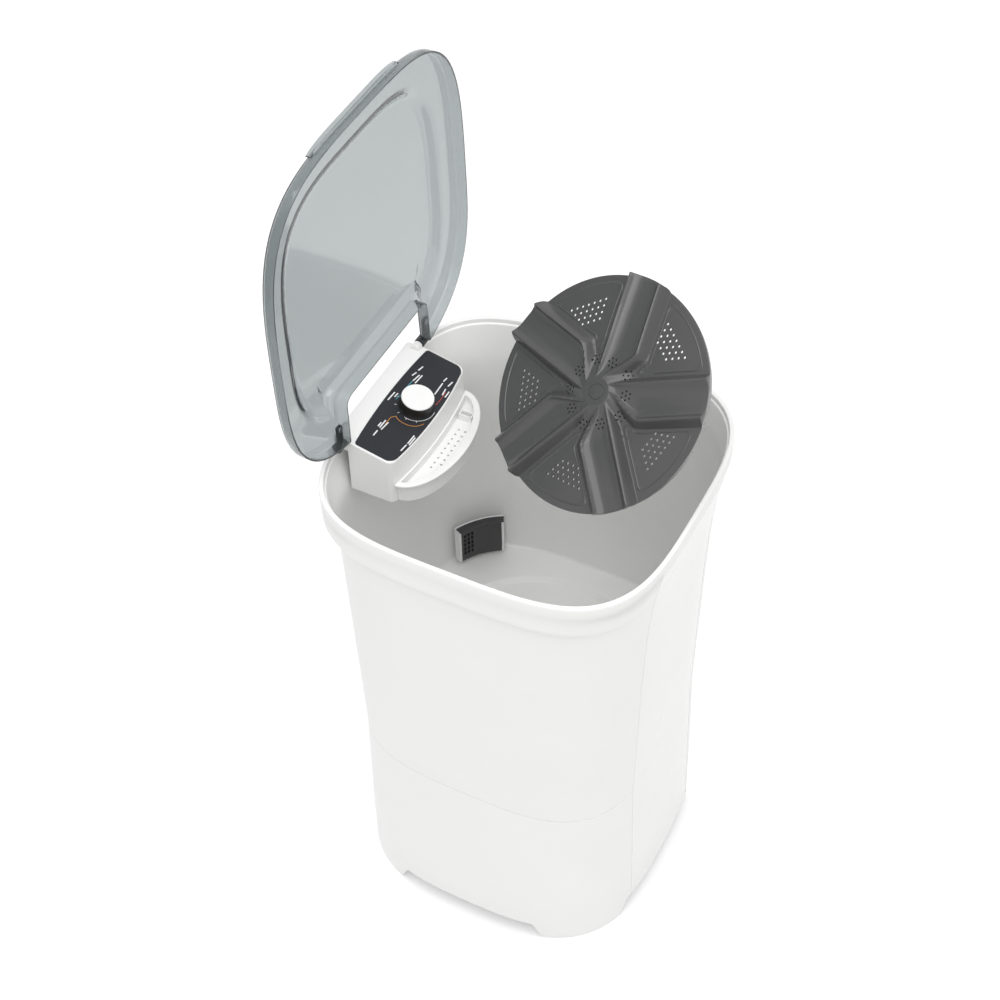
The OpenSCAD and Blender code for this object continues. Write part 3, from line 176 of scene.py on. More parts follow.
def finish(piece, smooth):
    """Shades a piece smooth and keeps its edges sharp over that angle."""
    data = piece.data
    data.shade_smooth()
    data.set_sharp_from_angle(angle=math.radians(smooth))


def stack(rings, closed=False, caps=True):
    """Points and faces of a skin through equal rings: closed like a torus, or capped by a fan at each end."""
    rings = np.asarray(rings, float)
    m, n = rings.shape[:2]
    points = rings.reshape(-1, 3)
    faces = [grid_quads(m, n, close_rows=closed)]
    if not closed and caps:
        low, high = rings[0].mean(0), rings[-1].mean(0)
        points = np.concatenate([points, [low, high]])
        j = np.arange(n)
        k = (j + 1) % n
        faces.append(np.stack([k, j, np.full(n, m * n)], 1))
        faces.append(np.stack([(m - 1) * n + j, (m - 1) * n + k, np.full(n, m * n + 1)], 1))
    return points, faces


def joined(*parts):
    """Several (points, faces) as one."""
    points, faces, base = [], [], 0
    for p, fs in parts:
        points.append(p)
        faces += [np.asarray(f) + base for f in fs]
        base += len(p)
    return np.concatenate(points), faces


def slab(front, back):
    """Closed sheet between two equal grids; the front one's columns run to the right and its rows up."""
    rows, cols = front.shape[:2]
    n = rows * cols
    points = np.concatenate([front.reshape(-1, 3), back.reshape(-1, 3)])
    quads = grid_quads(rows, cols, close_cols=False)
    edge = np.concatenate([np.arange(cols), np.arange(1, rows) * cols + cols - 1,
                           (rows - 1) * cols + np.arange(cols - 2, -1, -1),
                           np.arange(rows - 2, 0, -1) * cols])
    nxt = np.roll(edge, -1)
    return points, [quads, quads[:, ::-1] + n, np.stack([nxt, edge, edge + n, nxt + n], 1)]


def turned(profile, count):
    """Rings of points that each (radius, height) pair draws about the Z axis."""
    t = np.linspace(0, 2 * math.pi, count, endpoint=False)
    r = np.maximum(profile[:, :1], 1e-3)
    return np.stack([r * np.cos(t), r * np.sin(t), np.repeat(profile[:, 1:2], count, 1)], -1)


def lathe(profile, count=96, centre=(0, 0, 0)):
    """Profile of (radius, height) pairs turned about the Z axis, its ends closed by a small fan."""
    profile = np.asarray(profile, float)
    return stack(turned(profile, count) + np.asarray(centre, float))


def opened(points):
    """Turns lid points, drawn closed, about the hinge axis to the open rest place."""
    p = np.asarray(points, float)
    c, s = math.cos(math.radians(-LID_OPEN)), math.sin(math.radians(-LID_OPEN))
    y, z = p[..., 1] - HINGE_Y, p[..., 2] - HINGE_Z
    return np.stack([p[..., 0], HINGE_Y + c * y - s * z, HINGE_Z + s * y + c * z], -1)


def on_pin(points, x):
    """Lays points drawn about the Z axis along the hinge axis, their middle at x."""
    return np.column_stack([x + points[:, 2], HINGE_Y + points[:, 0], HINGE_Z + points[:, 1]])


def on_face(points, x, y):
    """Places points drawn on a level plane upon the console's sloping face at (x, y)."""
    p = np.asarray(points, float)
    c, s = math.cos(SLOPE), math.sin(SLOPE)
    z0 = CONSOLE_FRONT + (y - CONSOLE_Y) * math.tan(SLOPE)
    v, w = p[..., 1], p[..., 2]
    return np.stack([x + p[..., 0], y + c * v - s * w, z0 + s * v + c * w], -1)


def cut(piece, cutter_parts, smooth=40.0):
    """Takes a set of closed cutters out of a piece by one boolean, applied at once, and drops the cutter."""
    points, faces = joined(*cutter_parts)
    data = bpy.data.meshes.new("cutter")
    fill(data, points, faces)
    cutter = bpy.data.objects.new("cutter", data)
    bpy.context.scene.collection.objects.link(cutter)
    modifier = piece.modifiers.new("cut", "BOOLEAN")
    modifier.operation = "DIFFERENCE"
    modifier.solver = "MANIFOLD"
    modifier.object = cutter
    bpy.context.view_layer.update()
    done = bpy.data.meshes.new_from_object(piece.evaluated_get(bpy.context.evaluated_depsgraph_get()))
    piece.modifiers.clear()
    old = piece.data
    done.name = old.name
    piece.data = done
    bpy.data.objects.remove(cutter)
    bpy.data.meshes.remove(old)
    finish(piece, smooth)


def rod(centre, radius, low, high, count=12, frame_of=None):
    """Closed prism with many sides along Z, for a round hole."""
    t = np.linspace(0, 2 * math.pi, count, endpoint=False)
    ring = np.stack([centre[0] + radius * np.cos(t), centre[1] + radius * np.sin(t)], 1)
    rings = [np.column_stack([ring, np.full(count, z)]) for z in (low, high)]
    points, faces = stack(rings)
    return (frame_of(points) if frame_of else points), faces


# Materials

def linear(code):
    """sRGB hex to linear RGBA."""
    rgb = [int(code[i:i + 2], 16) / 255 for i in (1, 3, 5)]
    return [c / 12.92 if c <= 0.04045 else ((c + 0.055) / 1.055) ** 2.4 for c in rgb] + [1.0]


def add(tree, kind, links=None, **settings):
    """Adds a node, sets its properties, and gives each named socket a value or another node's output."""
    node = tree.nodes.new(kind)
    for key, value in settings.items():
        setattr(node, key, value)
    for key, value in (links or {}).items():
        if isinstance(value, bpy.types.NodeSocket):
            tree.links.new(value, node.inputs[key])
        else:
            node.inputs[key].default_value = value
    return node


def material(name, code, roughness, grain_mm, grain_depth_mm, tint=0.02, rough_spread=0.06, **sockets):
    """Base finish: a colour that varies by tint over hand-wide patches, a moulded or cast grain of that
    size and depth in millimetres as bump, and a roughness that wanders by rough_spread."""
    m = bpy.data.materials.new(name)
    m.use_nodes = True
    tree = m.node_tree
    tree.nodes.clear()
    place = add(tree, "ShaderNodeTexCoord").outputs["Object"]
    patches = add(tree, "ShaderNodeTexNoise", {"Vector": place, "Scale": 9.0, "Detail": 3.0}).outputs["Fac"]
    grain_scale = 1 / (grain_mm * MM)
    grain = add(tree, "ShaderNodeTexNoise", {"Vector": place, "Scale": grain_scale, "Detail": 2.0})
    colour = linear(code)
    shade = [max(0, c * (1 - 2 * tint)) for c in colour[:3]] + [1.0]
    base = add(tree, "ShaderNodeMix", {"Factor": patches, "A": shade, "B": colour}, data_type="RGBA")
    rough = add(tree, "ShaderNodeMapRange", {"Value": patches, "To Min": roughness - rough_spread / 2,
                                             "To Max": roughness + rough_spread / 2}).outputs["Result"]
    bump = add(tree, "ShaderNodeBump", {"Height": grain.outputs["Fac"], "Distance": grain_depth_mm * MM,
                                        "Strength": 1.0}).outputs["Normal"]
    shader = add(tree, "ShaderNodeBsdfPrincipled", {"Base Color": base.outputs["Result"], "Roughness": rough,
                                                    "Normal": bump, **sockets})
    add(tree, "ShaderNodeOutputMaterial", {"Surface": shader.outputs["BSDF"]})
    return m


# White polypropylene, injection moulded in a polished tool: an even milky white with a soft sheen
TANK_WHITE = material("white_polypropylene", "#F5F5F4", 0.34, 1.2, 0.004)
# The same resin on the front panel, with a higher polish
PANEL_WHITE = material("polished_white_polypropylene", "#F5F5F4", 0.26, 1.2, 0.003)
# White ABS of the console, cup and rails: slightly warmer and glossier
CONSOLE_WHITE = material("white_abs", "#EEEEED", 0.3, 0.9, 0.003)
# Dark grey polypropylene of the agitator: satin, with a fine moulded grain
AGITATOR_GREY = material("dark_grey_polypropylene", "#4A4A4A", 0.22, 0.8, 0.006, tint=0.05)
FILTER_GREY = material("charcoal_polypropylene", "#3A3A3B", 0.4, 0.7, 0.006, tint=0.05)
ARM_GREY = material("charcoal_nylon", "#2E3233", 0.38, 0.7, 0.005, tint=0.05)
LABEL_FILM = material("dark_polycarbonate_film", "#26282D", 0.42, 0.5, 0.001, tint=0.03,
                      **{"Specular IOR Level": 0.3})
KNOB_BLACK = material("black_abs", "#1E1C1B", 0.32, 0.6, 0.003)
KNOB_WHITE = material("white_knob_abs", "#F1F1F0", 0.28, 0.6, 0.002)
RUBBER = material("black_rubber", "#1B1B1B", 0.62, 0.8, 0.02, tint=0.08)
PIPE_WHITE = material("pale_polypropylene", "#E2E2E0", 0.4, 0.8, 0.006)
CREAM_PLASTIC = material("cream_nylon", "#DDD6BC", 0.45, 0.8, 0.006)
STEEL = material("zinc_plated_steel", "#B4B6B8", 0.32, 0.6, 0.004, Metallic=1.0)
ALLOY = material("cast_aluminium_alloy", "#A7A9AA", 0.46, 1.4, 0.03, Metallic=1.0)
BRONZE = material("sintered_bronze", "#A9834C", 0.42, 0.5, 0.01, Metallic=1.0)
MOTOR_PAINT = material("dark_enamel_on_steel", "#2B2D2F", 0.34, 1.0, 0.01, tint=0.06)
MESH_NYLON = material("nylon_gauze", "#BEBEBE", 0.7, 0.4, 0.05)
# Smoked polystyrene of the lid: clear, tinted through its thickness, with a mirror-like outer skin
SMOKED = material("smoked_polystyrene", "#AEB4B5", 0.06, 2.0, 0.001, rough_spread=0.02,
                  **{"Transmission Weight": 0.93, "IOR": 1.5})
# Screen-printed inks on the label, slightly raised and satin
INK_WHITE = material("white_ink", "#E6E6E6", 0.5, 0.5, 0.001)
INK_CYAN = material("cyan_ink", "#3FA9BE", 0.5, 0.5, 0.001)
INK_ORANGE = material("orange_ink", "#C98A3C", 0.5, 0.5, 0.001)
INK_RED = material("red_ink", "#B8433C", 0.5, 0.5, 0.001)

BY_SLOT = {
    "tank_plastic": TANK_WHITE, "panel_plastic": PANEL_WHITE, "cover_plastic": TANK_WHITE,
    "foot_rubber": RUBBER, "zinc_steel": STEEL, "cast_alloy": ALLOY, "bushing": BRONZE,
    "seal_rubber": RUBBER, "motor_paint": MOTOR_PAINT, "belt_rubber": RUBBER,
    "capacitor_case": CONSOLE_WHITE, "grey_plastic": PIPE_WHITE, "dark_plastic": ARM_GREY,
    "console_plastic": CONSOLE_WHITE, "label_sheet": LABEL_FILM, "timer_case": CREAM_PLASTIC,
    "screw_steel": STEEL, "shaft_steel": STEEL, "fan_plastic": CREAM_PLASTIC, "knob_black": KNOB_BLACK,
    "knob_white": KNOB_WHITE, "lid_plastic": SMOKED, "filter_plastic": FILTER_GREY,
    "mesh_fabric": MESH_NYLON, "agitator_plastic": AGITATOR_GREY}
for entry in frame["record"]["subparts"]:
    data = NODES[entry["node"]].data
    data.materials.clear()
    data.materials.append(BY_SLOT[entry["material_slot"]])


# Tank, skirt and front panel

def ring_of(row):
    """Ring at a profile row: half width, front, back, roundness, height, sink and share of the feet."""
    a, front, back, p, z, sink, feet = row
    flat = outline(a, front, back, p, sink)
    far_x, far_y = np.abs(flat[:, 0]) - 132, np.abs(flat[:, 1]) - 128
    share = ease(far_x / FEET_BLEND) * ease(far_y / FEET_BLEND)
    return np.column_stack([flat, z - feet * (BASE_Z - 2) * share])


def circle_row(r, z):
    """Row for a circle, which is the superellipse of roundness 2."""
    return [r, r, r, 2, z, 0, 0]


def rim_row(inset, z):
    """Row for the rim's outline, an inset within the cabinet's full width and depth."""
    return [HALF_W - inset, HALF_D - inset, HALF_D - inset, RIM_P, z, 0, 0]


def wall_row(z, inset=0.0, sink=SINK, feet=0.0, at=None):
    """Row for the cabinet's wall at height z, or one drawn there with the outline of height at."""
    a, f, b, p = wall_at(z if at is None else at)
    return [a - inset, f - inset, b - inset, p, z, sink, feet]


def band_row(z):
    """Row for the band round the rim."""
    return [*band_at(z), z, SINK, 0]


def feet_at(z):
    """Share of the feet at height z: 1 at the base, falling evenly to 0 over the feet's height."""
    return max(0.0, 1 - (z - BASE_Z) / FEET_H)


def build_tank():
    """Closed skin through rings: out from the bore under the floor, up the outside, over the rim, down
    the inside, and over the floor and its round recess back to the bore."""
    heights = np.linspace(SEAM_Z + GAP / 2, SHOULDER_Z, 26)
    inner = HALF_W - 6 - 4.5
    under, low, top = RECESS_Z - WALL, FLOOR_Z - WALL, RIM_Z - 0.2
    _, shoulder_f, shoulder_b, _ = wall_at(SHOULDER_Z)
    rows, radii = [], []

    def put(row, radius=0.0):
        rows.append(row)
        radii.append(radius)

    put(circle_row(BORE_R, under))
    put(circle_row(RECESS_R - WALL, under))
    put(circle_row(RECESS_R + WALL, low))
    put(wall_row(low, 2 * WALL))
    put(wall_row(low - WALL, WALL))
    put(wall_row(SEAM_Z + GAP / 2, WALL))
    put(wall_row(SEAM_Z + GAP / 2), 1.2)
    for z in heights[1:-1]:
        put(wall_row(z))
    put(wall_row(SHOULDER_Z), 6)
    put(band_row(BAND_Z - 6), 4)
    put(band_row(BAND_Z + 4), 4)
    put(band_row(PANEL_TOP))
    put(rim_row(0, PANEL_TOP + GAP))
    put(rim_row(0, top), 4.5)
    put(rim_row(7.5, top), 3.0)
    put(rim_row(8.0, RIM_Z - 9), 1.2)
    put([inner, inner + 11, inner + 11, RIM_P, RIM_Z - 10.5, 0, 0], 2.5)
    put([SHOULDER_W - WALL / 2, shoulder_f - WALL - SINK, shoulder_b - WALL / 2, RIM_P,
         BAND_Z - GAP, 0, 0], 10)
    for z in np.linspace(SHOULDER_Z - WALL, FLOOR_Z + 60, 22):
        put(wall_row(z, WALL, SINK * (z < WELL_TOP)))
    put(wall_row(FLOOR_Z + 2, WALL + 2, SINK), 9)
    put(wall_row(FLOOR_Z, 34, 0, at=FLOOR_Z), 0)
    put(circle_row(RECESS_R + 6, FLOOR_Z), 1.6)
    put(circle_row(RECESS_R - 2, RECESS_Z), 1.6)
    put(circle_row(150, RECESS_Z))
    put(circle_row(90, RECESS_Z))
    put(circle_row(BORE_R, RECESS_Z))
    profile = rounded(rows, radii)
    points, faces = stack([ring_of(r) for r in profile], closed=True)
    tank = mesh("tank_shell", points, faces, TANK_WHITE, "cabinet", ["tank"], smooth=50)
    cut(tank, [rod((-90, 150), 17, 420, 440, 48)], 50)


def build_skirt():
    """Closed skin through rings: up the outside, in under the tank with a lip, and down the inside,
    the four feet drawn down at its corners."""
    top = SEAM_Z - GAP / 2
    rows = [wall_row(BASE_Z, WALL, feet=1, at=BASE_Z), wall_row(BASE_Z, 0, feet=1, at=BASE_Z)]
    radii = [0, 5]
    for z in np.linspace(60, top - 6, 18):
        rows.append([*wall_at(z), z, SINK, feet_at(z)])
        radii.append(0)
    lip, lip_in = WALL + RUN, 2 * WALL + RUN
    rows += [wall_row(top), wall_row(top, lip), wall_row(top + 10, lip), wall_row(top + 10, lip_in),
             wall_row(top - 10, lip_in), wall_row(top - 20, WALL)]
    radii += [1.2, 0, 0, 0, 0, 0]
    for z in np.linspace(top - 40, 60, 10):
        rows.append(wall_row(z, WALL, feet=feet_at(z)))
        radii.append(0)
    profile = rounded(rows, radii)
    shell = stack([ring_of(r) for r in profile], closed=True)
    seat = [(0, 12), (20, 12), (20, 18), (0, 18)]
    seats = [lathe(seat, 48, (x, y, 0)) for x in (-FOOT_X, FOOT_X) for y in (-FOOT_X, FOOT_X)]
    points, faces = joined(shell, *seats)
    skirt = mesh("base_skirt_shell", points, faces, TANK_WHITE, "cabinet", ["base_skirt"],
                 smooth=50)
    holes = []
    for x, z, r in ((170, 120, 9), (-90, 330, 15)):
        p, f = rod((0, 0), r, 150, 320, 48)
        holes.append((np.stack([x + p[:, 0], p[:, 2], z - p[:, 1]], 1), f))
    cut(skirt, holes, 50)


def build_panel():
    """Bowed plate: y = -b (1 - |x/a|^p)^(1/p) at each height, its edge turned in by a small round."""
    half, low, high = 124.5, BASE_Z + GAP, PANEL_TOP - GAP
    bend = 1.6
    edge = half - bend * (1 - np.cos(np.linspace(0, math.pi / 2, 5)))
    xs = np.concatenate([-edge, np.linspace(-half + 2 * bend, half - 2 * bend, 45), edge])
    xs = np.unique(np.round(xs, 4))
    turn_in = bend * (1 - np.cos(np.linspace(0, math.pi / 2, 5)))
    zs = np.concatenate([low + turn_in, np.linspace(low + 3, SHOULDER_Z, 60),
                         np.linspace(SHOULDER_Z, high - 3, 12), high - turn_in])
    zs = np.unique(np.round(zs, 4))
    drop = lambda d: np.where(d < bend, bend - np.sqrt(np.maximum(0, bend ** 2 - (bend - d) ** 2)), 0)
    front = np.zeros((len(zs), len(xs), 3))
    back = front.copy()
    for i, z in enumerate(zs):
        a, f, _, p = band_at(z) if z > SHOULDER_Z else wall_at(z)
        y = front_depth(xs, a, f, p)
        lift = drop(half - np.abs(xs)) + drop(min(z - low, high - z))
        front[i] = np.column_stack([xs, y + lift, np.full(len(xs), z)])
        back[i] = np.column_stack([xs, y + WALL, np.full(len(xs), z)])
    points, faces = slab(front, back)
    mesh("front_panel_plate", points, faces, PANEL_WHITE, "cabinet", ["front_panel"],
         smooth=60)


# Lid

LID_A, LID_FRONT, LID_MID, LID_REAR = HALF_W - 1, HALF_D - 1, 20.0, 265.0
NOTCH_W, NOTCH_REAR, NOTCH_Y = 128.0, 131.0, CONSOLE_Y - 2.3


def lid_ring(inset, notch, z, count=420, corner=28):
    """Outline of the lid: a superellipse with a fuller front half and a round-cornered notch at its
    back."""
    w0, w1, y1 = NOTCH_REAR + notch, NOTCH_W + notch, NOTCH_Y - notch
    a, b = LID_A - inset, LID_REAR - LID_MID - inset
    t1 = math.acos(min(1, w0 / a) ** 1.5)
    y0 = LID_MID + b * math.sin(t1) ** (2 / 3)
    t = t1 - (math.pi + 2 * t1) * np.linspace(0, 1, count + 1)
    p = np.where(np.sin(t) >= 0, 3.0, RIM_P)
    bb = np.where(np.sin(t) >= 0, b, LID_FRONT + LID_MID - inset)
    edge = np.stack([-a * signed_power(np.cos(t), p), LID_MID + bb * signed_power(np.sin(t), p)], 1)
    r, s = 0.16, np.linspace(0, math.pi / 2, corner + 1)
    side_x = w1 + (w0 - w1) * r - w1 * r * (1 - np.cos(s))
    side_y = y1 + (y0 - y1) * r * (1 - np.sin(s))
    right = np.stack([side_x, side_y], 1)
    left = np.stack([-side_x[::-1], side_y[::-1]], 1)
    flat = np.concatenate([edge, right, left])
    return np.column_stack([flat, np.full(len(flat), z)])


def build_lid():
    """Closed skin through outlines of the lid: from the middle of its dome out and down its inner side,
    then up and in over its outer one."""
    top, low, t = RIM_Z + 21.0, RIM_Z + 1.0, 2.5
    rows = [(68 + t, 17 + t, top + 12 - t), (52 + t, 13 + t, top - t), (t, t, top - t), (t, t, low),
            (0, 0, low), (0, 0, top), (52, 13, top), (68, 17, top + 12)]
    radii = [0, 9, 4, 0.6, 0.6, 6, 9, 0]
    rows = [(100, 30, top + 12 - t)] + rows + [(100, 30, top + 12)]
    radii = [0, 7] + radii[1:-1] + [7, 0]
    profile = rounded(rows, radii)
    rings = [opened(lid_ring(*r)) for r in profile]
    points, faces = stack(rings)
    mesh("lid_shell", points, faces, SMOKED, "lid_assembly", ["lid"], smooth=35)


def build_grip():
    """Ledge along the lid's front edge: a thin curved slab that tapers to its ends."""
    half, d, h = 125.0, 6.0, 9.0
    z = RIM_Z + 21 - h + 1
    xs = np.linspace(-half, half, 61)

    def edge(x, out):
        return front_depth(x, LID_A + out, LID_FRONT + LID_MID + out, RIM_P) + LID_MID

    zs = z + np.array([0, 0.5, 1.5, 4.5, 7.5, 8.5, 9.0])
    trim = np.array([1.5, 0.5, 0, 0, 0, 0.5, 1.5])
    outer = edge(xs, d) + 0.6 * d * (np.abs(xs) / half) ** 8
    front = np.stack([np.column_stack([xs, outer + k, np.full(61, w)]) for w, k in zip(zs, trim)])
    back = np.stack([np.column_stack([xs, edge(xs, RUN), np.full(61, w)]) for w in zs])
    points, faces = slab(front, back)
    mesh("lid_grip_ledge", opened(points), faces, SMOKED, "lid_assembly", ["lid_grip"],
         smooth=50)


# Console

def plan_ring(half, front, back, corner_front, corner_back, z, inset=0.0, steps=8):
    """Rounded rectangle in plan, counterclockwise, whose heights come from z(y)."""
    half, front, back = half - inset, front + inset, back - inset
    parts = []
    for cx, cy, r, start in ((half, front, corner_front, -90), (half, back, corner_back, 0),
                             (-half, back, corner_back, 90), (-half, front, corner_front, 180)):
        r = max(0.5, r - inset)
        t = np.radians(start + np.linspace(0, 90, steps + 1))
        x0, y0 = cx - math.copysign(r, cx), cy - (r if cy == back else -r)
        parts.append(np.stack([x0 + r * np.cos(t), y0 + r * np.sin(t)], 1))
    flat = []
    for i, part in enumerate(parts):
        nxt = parts[(i + 1) % 4][0]
        flat.append(part)
        flat.append(part[-1] + (nxt - part[-1]) * np.linspace(0, 1, 12)[1:-1, None])
    flat = np.concatenate(flat)
    return np.column_stack([flat, z(flat[:, 1]) if callable(z) else np.full(len(flat), z)])


BOW_R, BOW_REACH = 701.0, 60.0


def front_bow(x):
    """How far the console's front face falls back at x: an arc of a wide circle."""
    return BOW_R - np.sqrt(BOW_R ** 2 - np.asarray(x, float) ** 2)


def bowed(ring):
    """Moves the points of a console ring back by the front's bow, fading out away from the front."""
    ring = np.array(ring, float)
    ring[:, 1] += front_bow(ring[:, 0]) * (1 - ease((ring[:, 1] - CONSOLE_Y) / BOW_REACH))
    return ring


def face_z(y):
    """Height of the console's face at y: up its slope to the face's rear edge, then level."""
    return CONSOLE_FRONT + (np.minimum(y, CONSOLE_Y + FACE_D) - CONSOLE_Y) * math.tan(SLOPE)


def build_console():
    """Skin through bowed rings from the foot to the rounded edge of the sloping face, closed by fans,
    with the hinge bosses and the two rails that carry the cup."""
    half, back, inner_back = 125.0, 290.0, 262.0
    boss_x, rail_x, rail_z = 118, 62, (899, 904)
    seat = RIM_Z + RUN
    rings = [bowed(plan_ring(half, CONSOLE_Y, inner_back, 12, 2, CONSOLE_LOW)),
             bowed(plan_ring(half, CONSOLE_Y, inner_back, 12, 2, seat)),
             bowed(plan_ring(half, CONSOLE_Y, back, 12, 6, seat))]
    for t in np.linspace(0, math.pi / 2, 7):
        inset, drop = 2.4 * (1 - math.cos(t)), 2.4 * (1 - math.sin(t))
        ring = bowed(plan_ring(half, CONSOLE_Y, back, 12, 6, 0.0, inset))
        ring[:, 2] = np.maximum(seat + 0.05, face_z(ring[:, 1]) - drop)
        rings.append(ring)
    ring = bowed(plan_ring(half, CONSOLE_Y, back, 12, 6, 0.0, 9))
    ring[:, 2] = face_z(ring[:, 1])
    rings.append(ring)
    body, skin = stack(rings, caps=False)
    n = len(rings[-1])
    base, peak = len(body) - n, len(body)
    j = np.arange(n)
    k = (j + 1) % n
    body = np.concatenate([body, [[0, CONSOLE_Y + FACE_D, CONSOLE_REAR],
                                  [0, (CONSOLE_Y + inner_back) / 2, CONSOLE_LOW]]])
    skin.append(np.stack([base + j, base + k, np.full(n, peak)], 1))
    skin.append(np.stack([k, j, np.full(n, peak + 1)], 1))
    bosses = []
    for side in (-1, 1):
        p, f = lathe([(0, -7), (7, -7), (8, -6), (8, 6), (7, 7), (0, 7)], 48)
        bosses.append((on_pin(p, side * boss_x), f))
    shelf = []
    for side in (-1, 1):
        x0, x1, y0, y1 = side * rail_x - 6, side * rail_x + 6, 136, 177
        ring = np.array([[x0, y0], [x1, y0], [x1, y1], [x0, y1]])
        shelf.append(stack([np.column_stack([ring, np.full(4, z)]) for z in rail_z]))
    points, faces = joined((body, skin), *bosses, *shelf)
    mesh("console_shell", points, faces, CONSOLE_WHITE, "cabinet", ["console_housing"],
         smooth=35)


LABEL_T, LABEL_FROM = 1.5, 1.75


def label_ring(w, d, z, inset=0.0):
    """Rounded rectangle whose front and rear edges both bow outwards."""
    ring = plan_ring(w, LABEL_FROM, LABEL_FROM + d, 14, 5, z, inset)
    place = (ring[:, 1] - LABEL_FROM) / d
    bow = front_bow(ring[:, 0])
    ring[:, 1] += bow * (1 - ease(place * 1.4)) - 0.6 * bow * ease(place * 1.4 - 0.4)
    return ring


def build_label():
    """Dark film with rounded corners, its edge turned down by half a millimetre."""
    w, d, t = 243.0 / 2, FACE_D / math.cos(SLOPE) - 2 * LABEL_FROM, LABEL_T
    rings = [label_ring(w, d, 0.0), label_ring(w, d, t - 0.5), label_ring(w, d, t, 0.5)]
    points, faces = stack(rings)
    mesh("label_plate", on_face(points, 0, CONSOLE_Y), faces, LABEL_FILM, "cabinet", ["console_label"],
         smooth=30)


KNOB_X, KNOB_Y = 4.0, 207.0
# Printed marks in places (x across the label, w up its slope), each with the width of its line
CYAN_MARKS = [([(-3, 72), (4, 71.2), (9, 70), (15, 68)], 1.0), ([(28, 70), (38, 69.4), (48, 68)], 1.0)]
ORANGE_MARKS = [([(-34, 54), (-37, 50.5), (-39, 45), (-40, 36), (-39, 28), (-36.5, 21.5), (-33, 16.5),
                  (-28, 12), (-21.5, 8.6)], 1.0),
                ([(-34, 54), (-41, 60), (-59, 60.4)], 1.0)]
RED_MARKS = [([(29, 22), (24, 17.5), (25, 12), (36.7, 11), (57.4, 11.6)], 1.0)]
BARS = [((57, 74.8), (67, 72)), ((48, 68), (65, 65)), ((45, 62.6), (67, 61)),
        ((72.5, 71.6), (84.5, 69.2)), ((-12, 82), (9, 80.6)), ((0, 76), (10, 75.2)),
        ((-69, 68), (-59, 67.6)), ((-70, 64.4), (-51, 63.8)), ((-72, 60.4), (-52.5, 58)),
        ((-90, 64.8), (-77, 64.3)), ((43, 24.4), (72, 25)), ((76, 25.8), (86, 24.4)),
        ((49, 13.4), (64, 15)), ((71, 14.6), (84, 12.6)), ((-92, 12.8), (-76, 11.2)),
        ((-73, 10.8), (-52, 10)), ((47.5, 7.4), (62, 7.4)), ((-74, 7.4), (-55, 6.6))]
BAR_W, RING_W, TICK_W, TICK_L = 2.2, 0.8, 0.9, 3.5
RING_R, RING_FROM, RING_TO = 32.0, 172.0, 280.0


def strip(points, width, high=0.12):
    """Flat printed line: a thin rectangle carried along a path of (x, w) points, square to it at each."""
    path = np.array(points, float)
    ahead = np.gradient(path, axis=0)
    ahead /= np.linalg.norm(ahead, axis=1, keepdims=True)
    side = np.stack([ahead[:, 1], -ahead[:, 0]], 1) * width / 2
    low, up = np.full(len(path), LABEL_T - 0.1), np.full(len(path), LABEL_T + high)
    corners = [np.column_stack([path - side, low]), np.column_stack([path + side, low]),
               np.column_stack([path + side, up]), np.column_stack([path - side, up])]
    return stack(np.stack(corners, 1))


def build_marks():
    """Plain coloured lines, bars and ticks round the dial, in place of lettering."""
    turn = np.radians(np.linspace(RING_FROM, RING_TO, 40))
    dial_w = (KNOB_Y - CONSOLE_Y) / math.cos(SLOPE)
    ring = np.stack([KNOB_X + RING_R * np.cos(turn), dial_w + RING_R * np.sin(turn)], 1)
    ticks = [([(KNOB_X + r * math.cos(a), dial_w + r * math.sin(a)) for r in (RING_R, RING_R + TICK_L)],
              TICK_W) for a in np.radians(np.arange(-30, 211, 30))]
    sets = (("cyan", INK_CYAN, CYAN_MARKS), ("orange", INK_ORANGE, ORANGE_MARKS),
            ("red", INK_RED, RED_MARKS),
            ("white", INK_WHITE, [(bar, BAR_W) for bar in BARS] + [(ring, RING_W)] + ticks))
    for name, ink, marks in sets:
        points, faces = joined(*[strip(path, width) for path, width in marks])
        mesh("label_print_" + name, on_face(points, 0, CONSOLE_Y), faces, ink, "cabinet",
             smooth=20)


def build_knob():
    """Turned dial: a black skirt with fine ribs and a white cap, on the timer's shaft."""
    low = LABEL_T + RUN
    profile = [(3.05, 12.5), (3.05, 0), (29, 0), (29, 1), (28.3, 2), (27.6, 17), (27, 20), (0, 20)]
    t = np.linspace(0, 2 * math.pi, 240, endpoint=False)
    prof = rounded([(r, z + low) for r, z in profile], [0, 0, 0.3, 0.5, 0.5, 1.5, 1.0, 0], 4)
    ribs = 0.35 * np.maximum(0, np.cos(60 * t))
    rings = []
    for r, z in prof:
        rr = np.maximum(r, 1e-3) + (ribs if r > 27 and low + 2 < z < low + 19.5 else 0)
        rings.append(np.column_stack([rr * np.cos(t), rr * np.sin(t), np.full(240, z)]))
    points, faces = stack([on_face(r, KNOB_X, KNOB_Y) for r in rings])
    mesh("dial_skirt", points, faces, KNOB_BLACK, "dial", ["knob"], smooth=40)
    cap = rounded([(0, low + 20), (27, low + 20), (27, low + 22.5), (25, low + 22.5), (0, low + 22.1)],
                  [0, 0.2, 1.4, 2, 0], 5)
    points, faces = lathe(cap)
    mesh("dial_cap", on_face(points, KNOB_X, KNOB_Y), faces, KNOB_WHITE, "dial", ["knob_cap"],
         smooth=40)


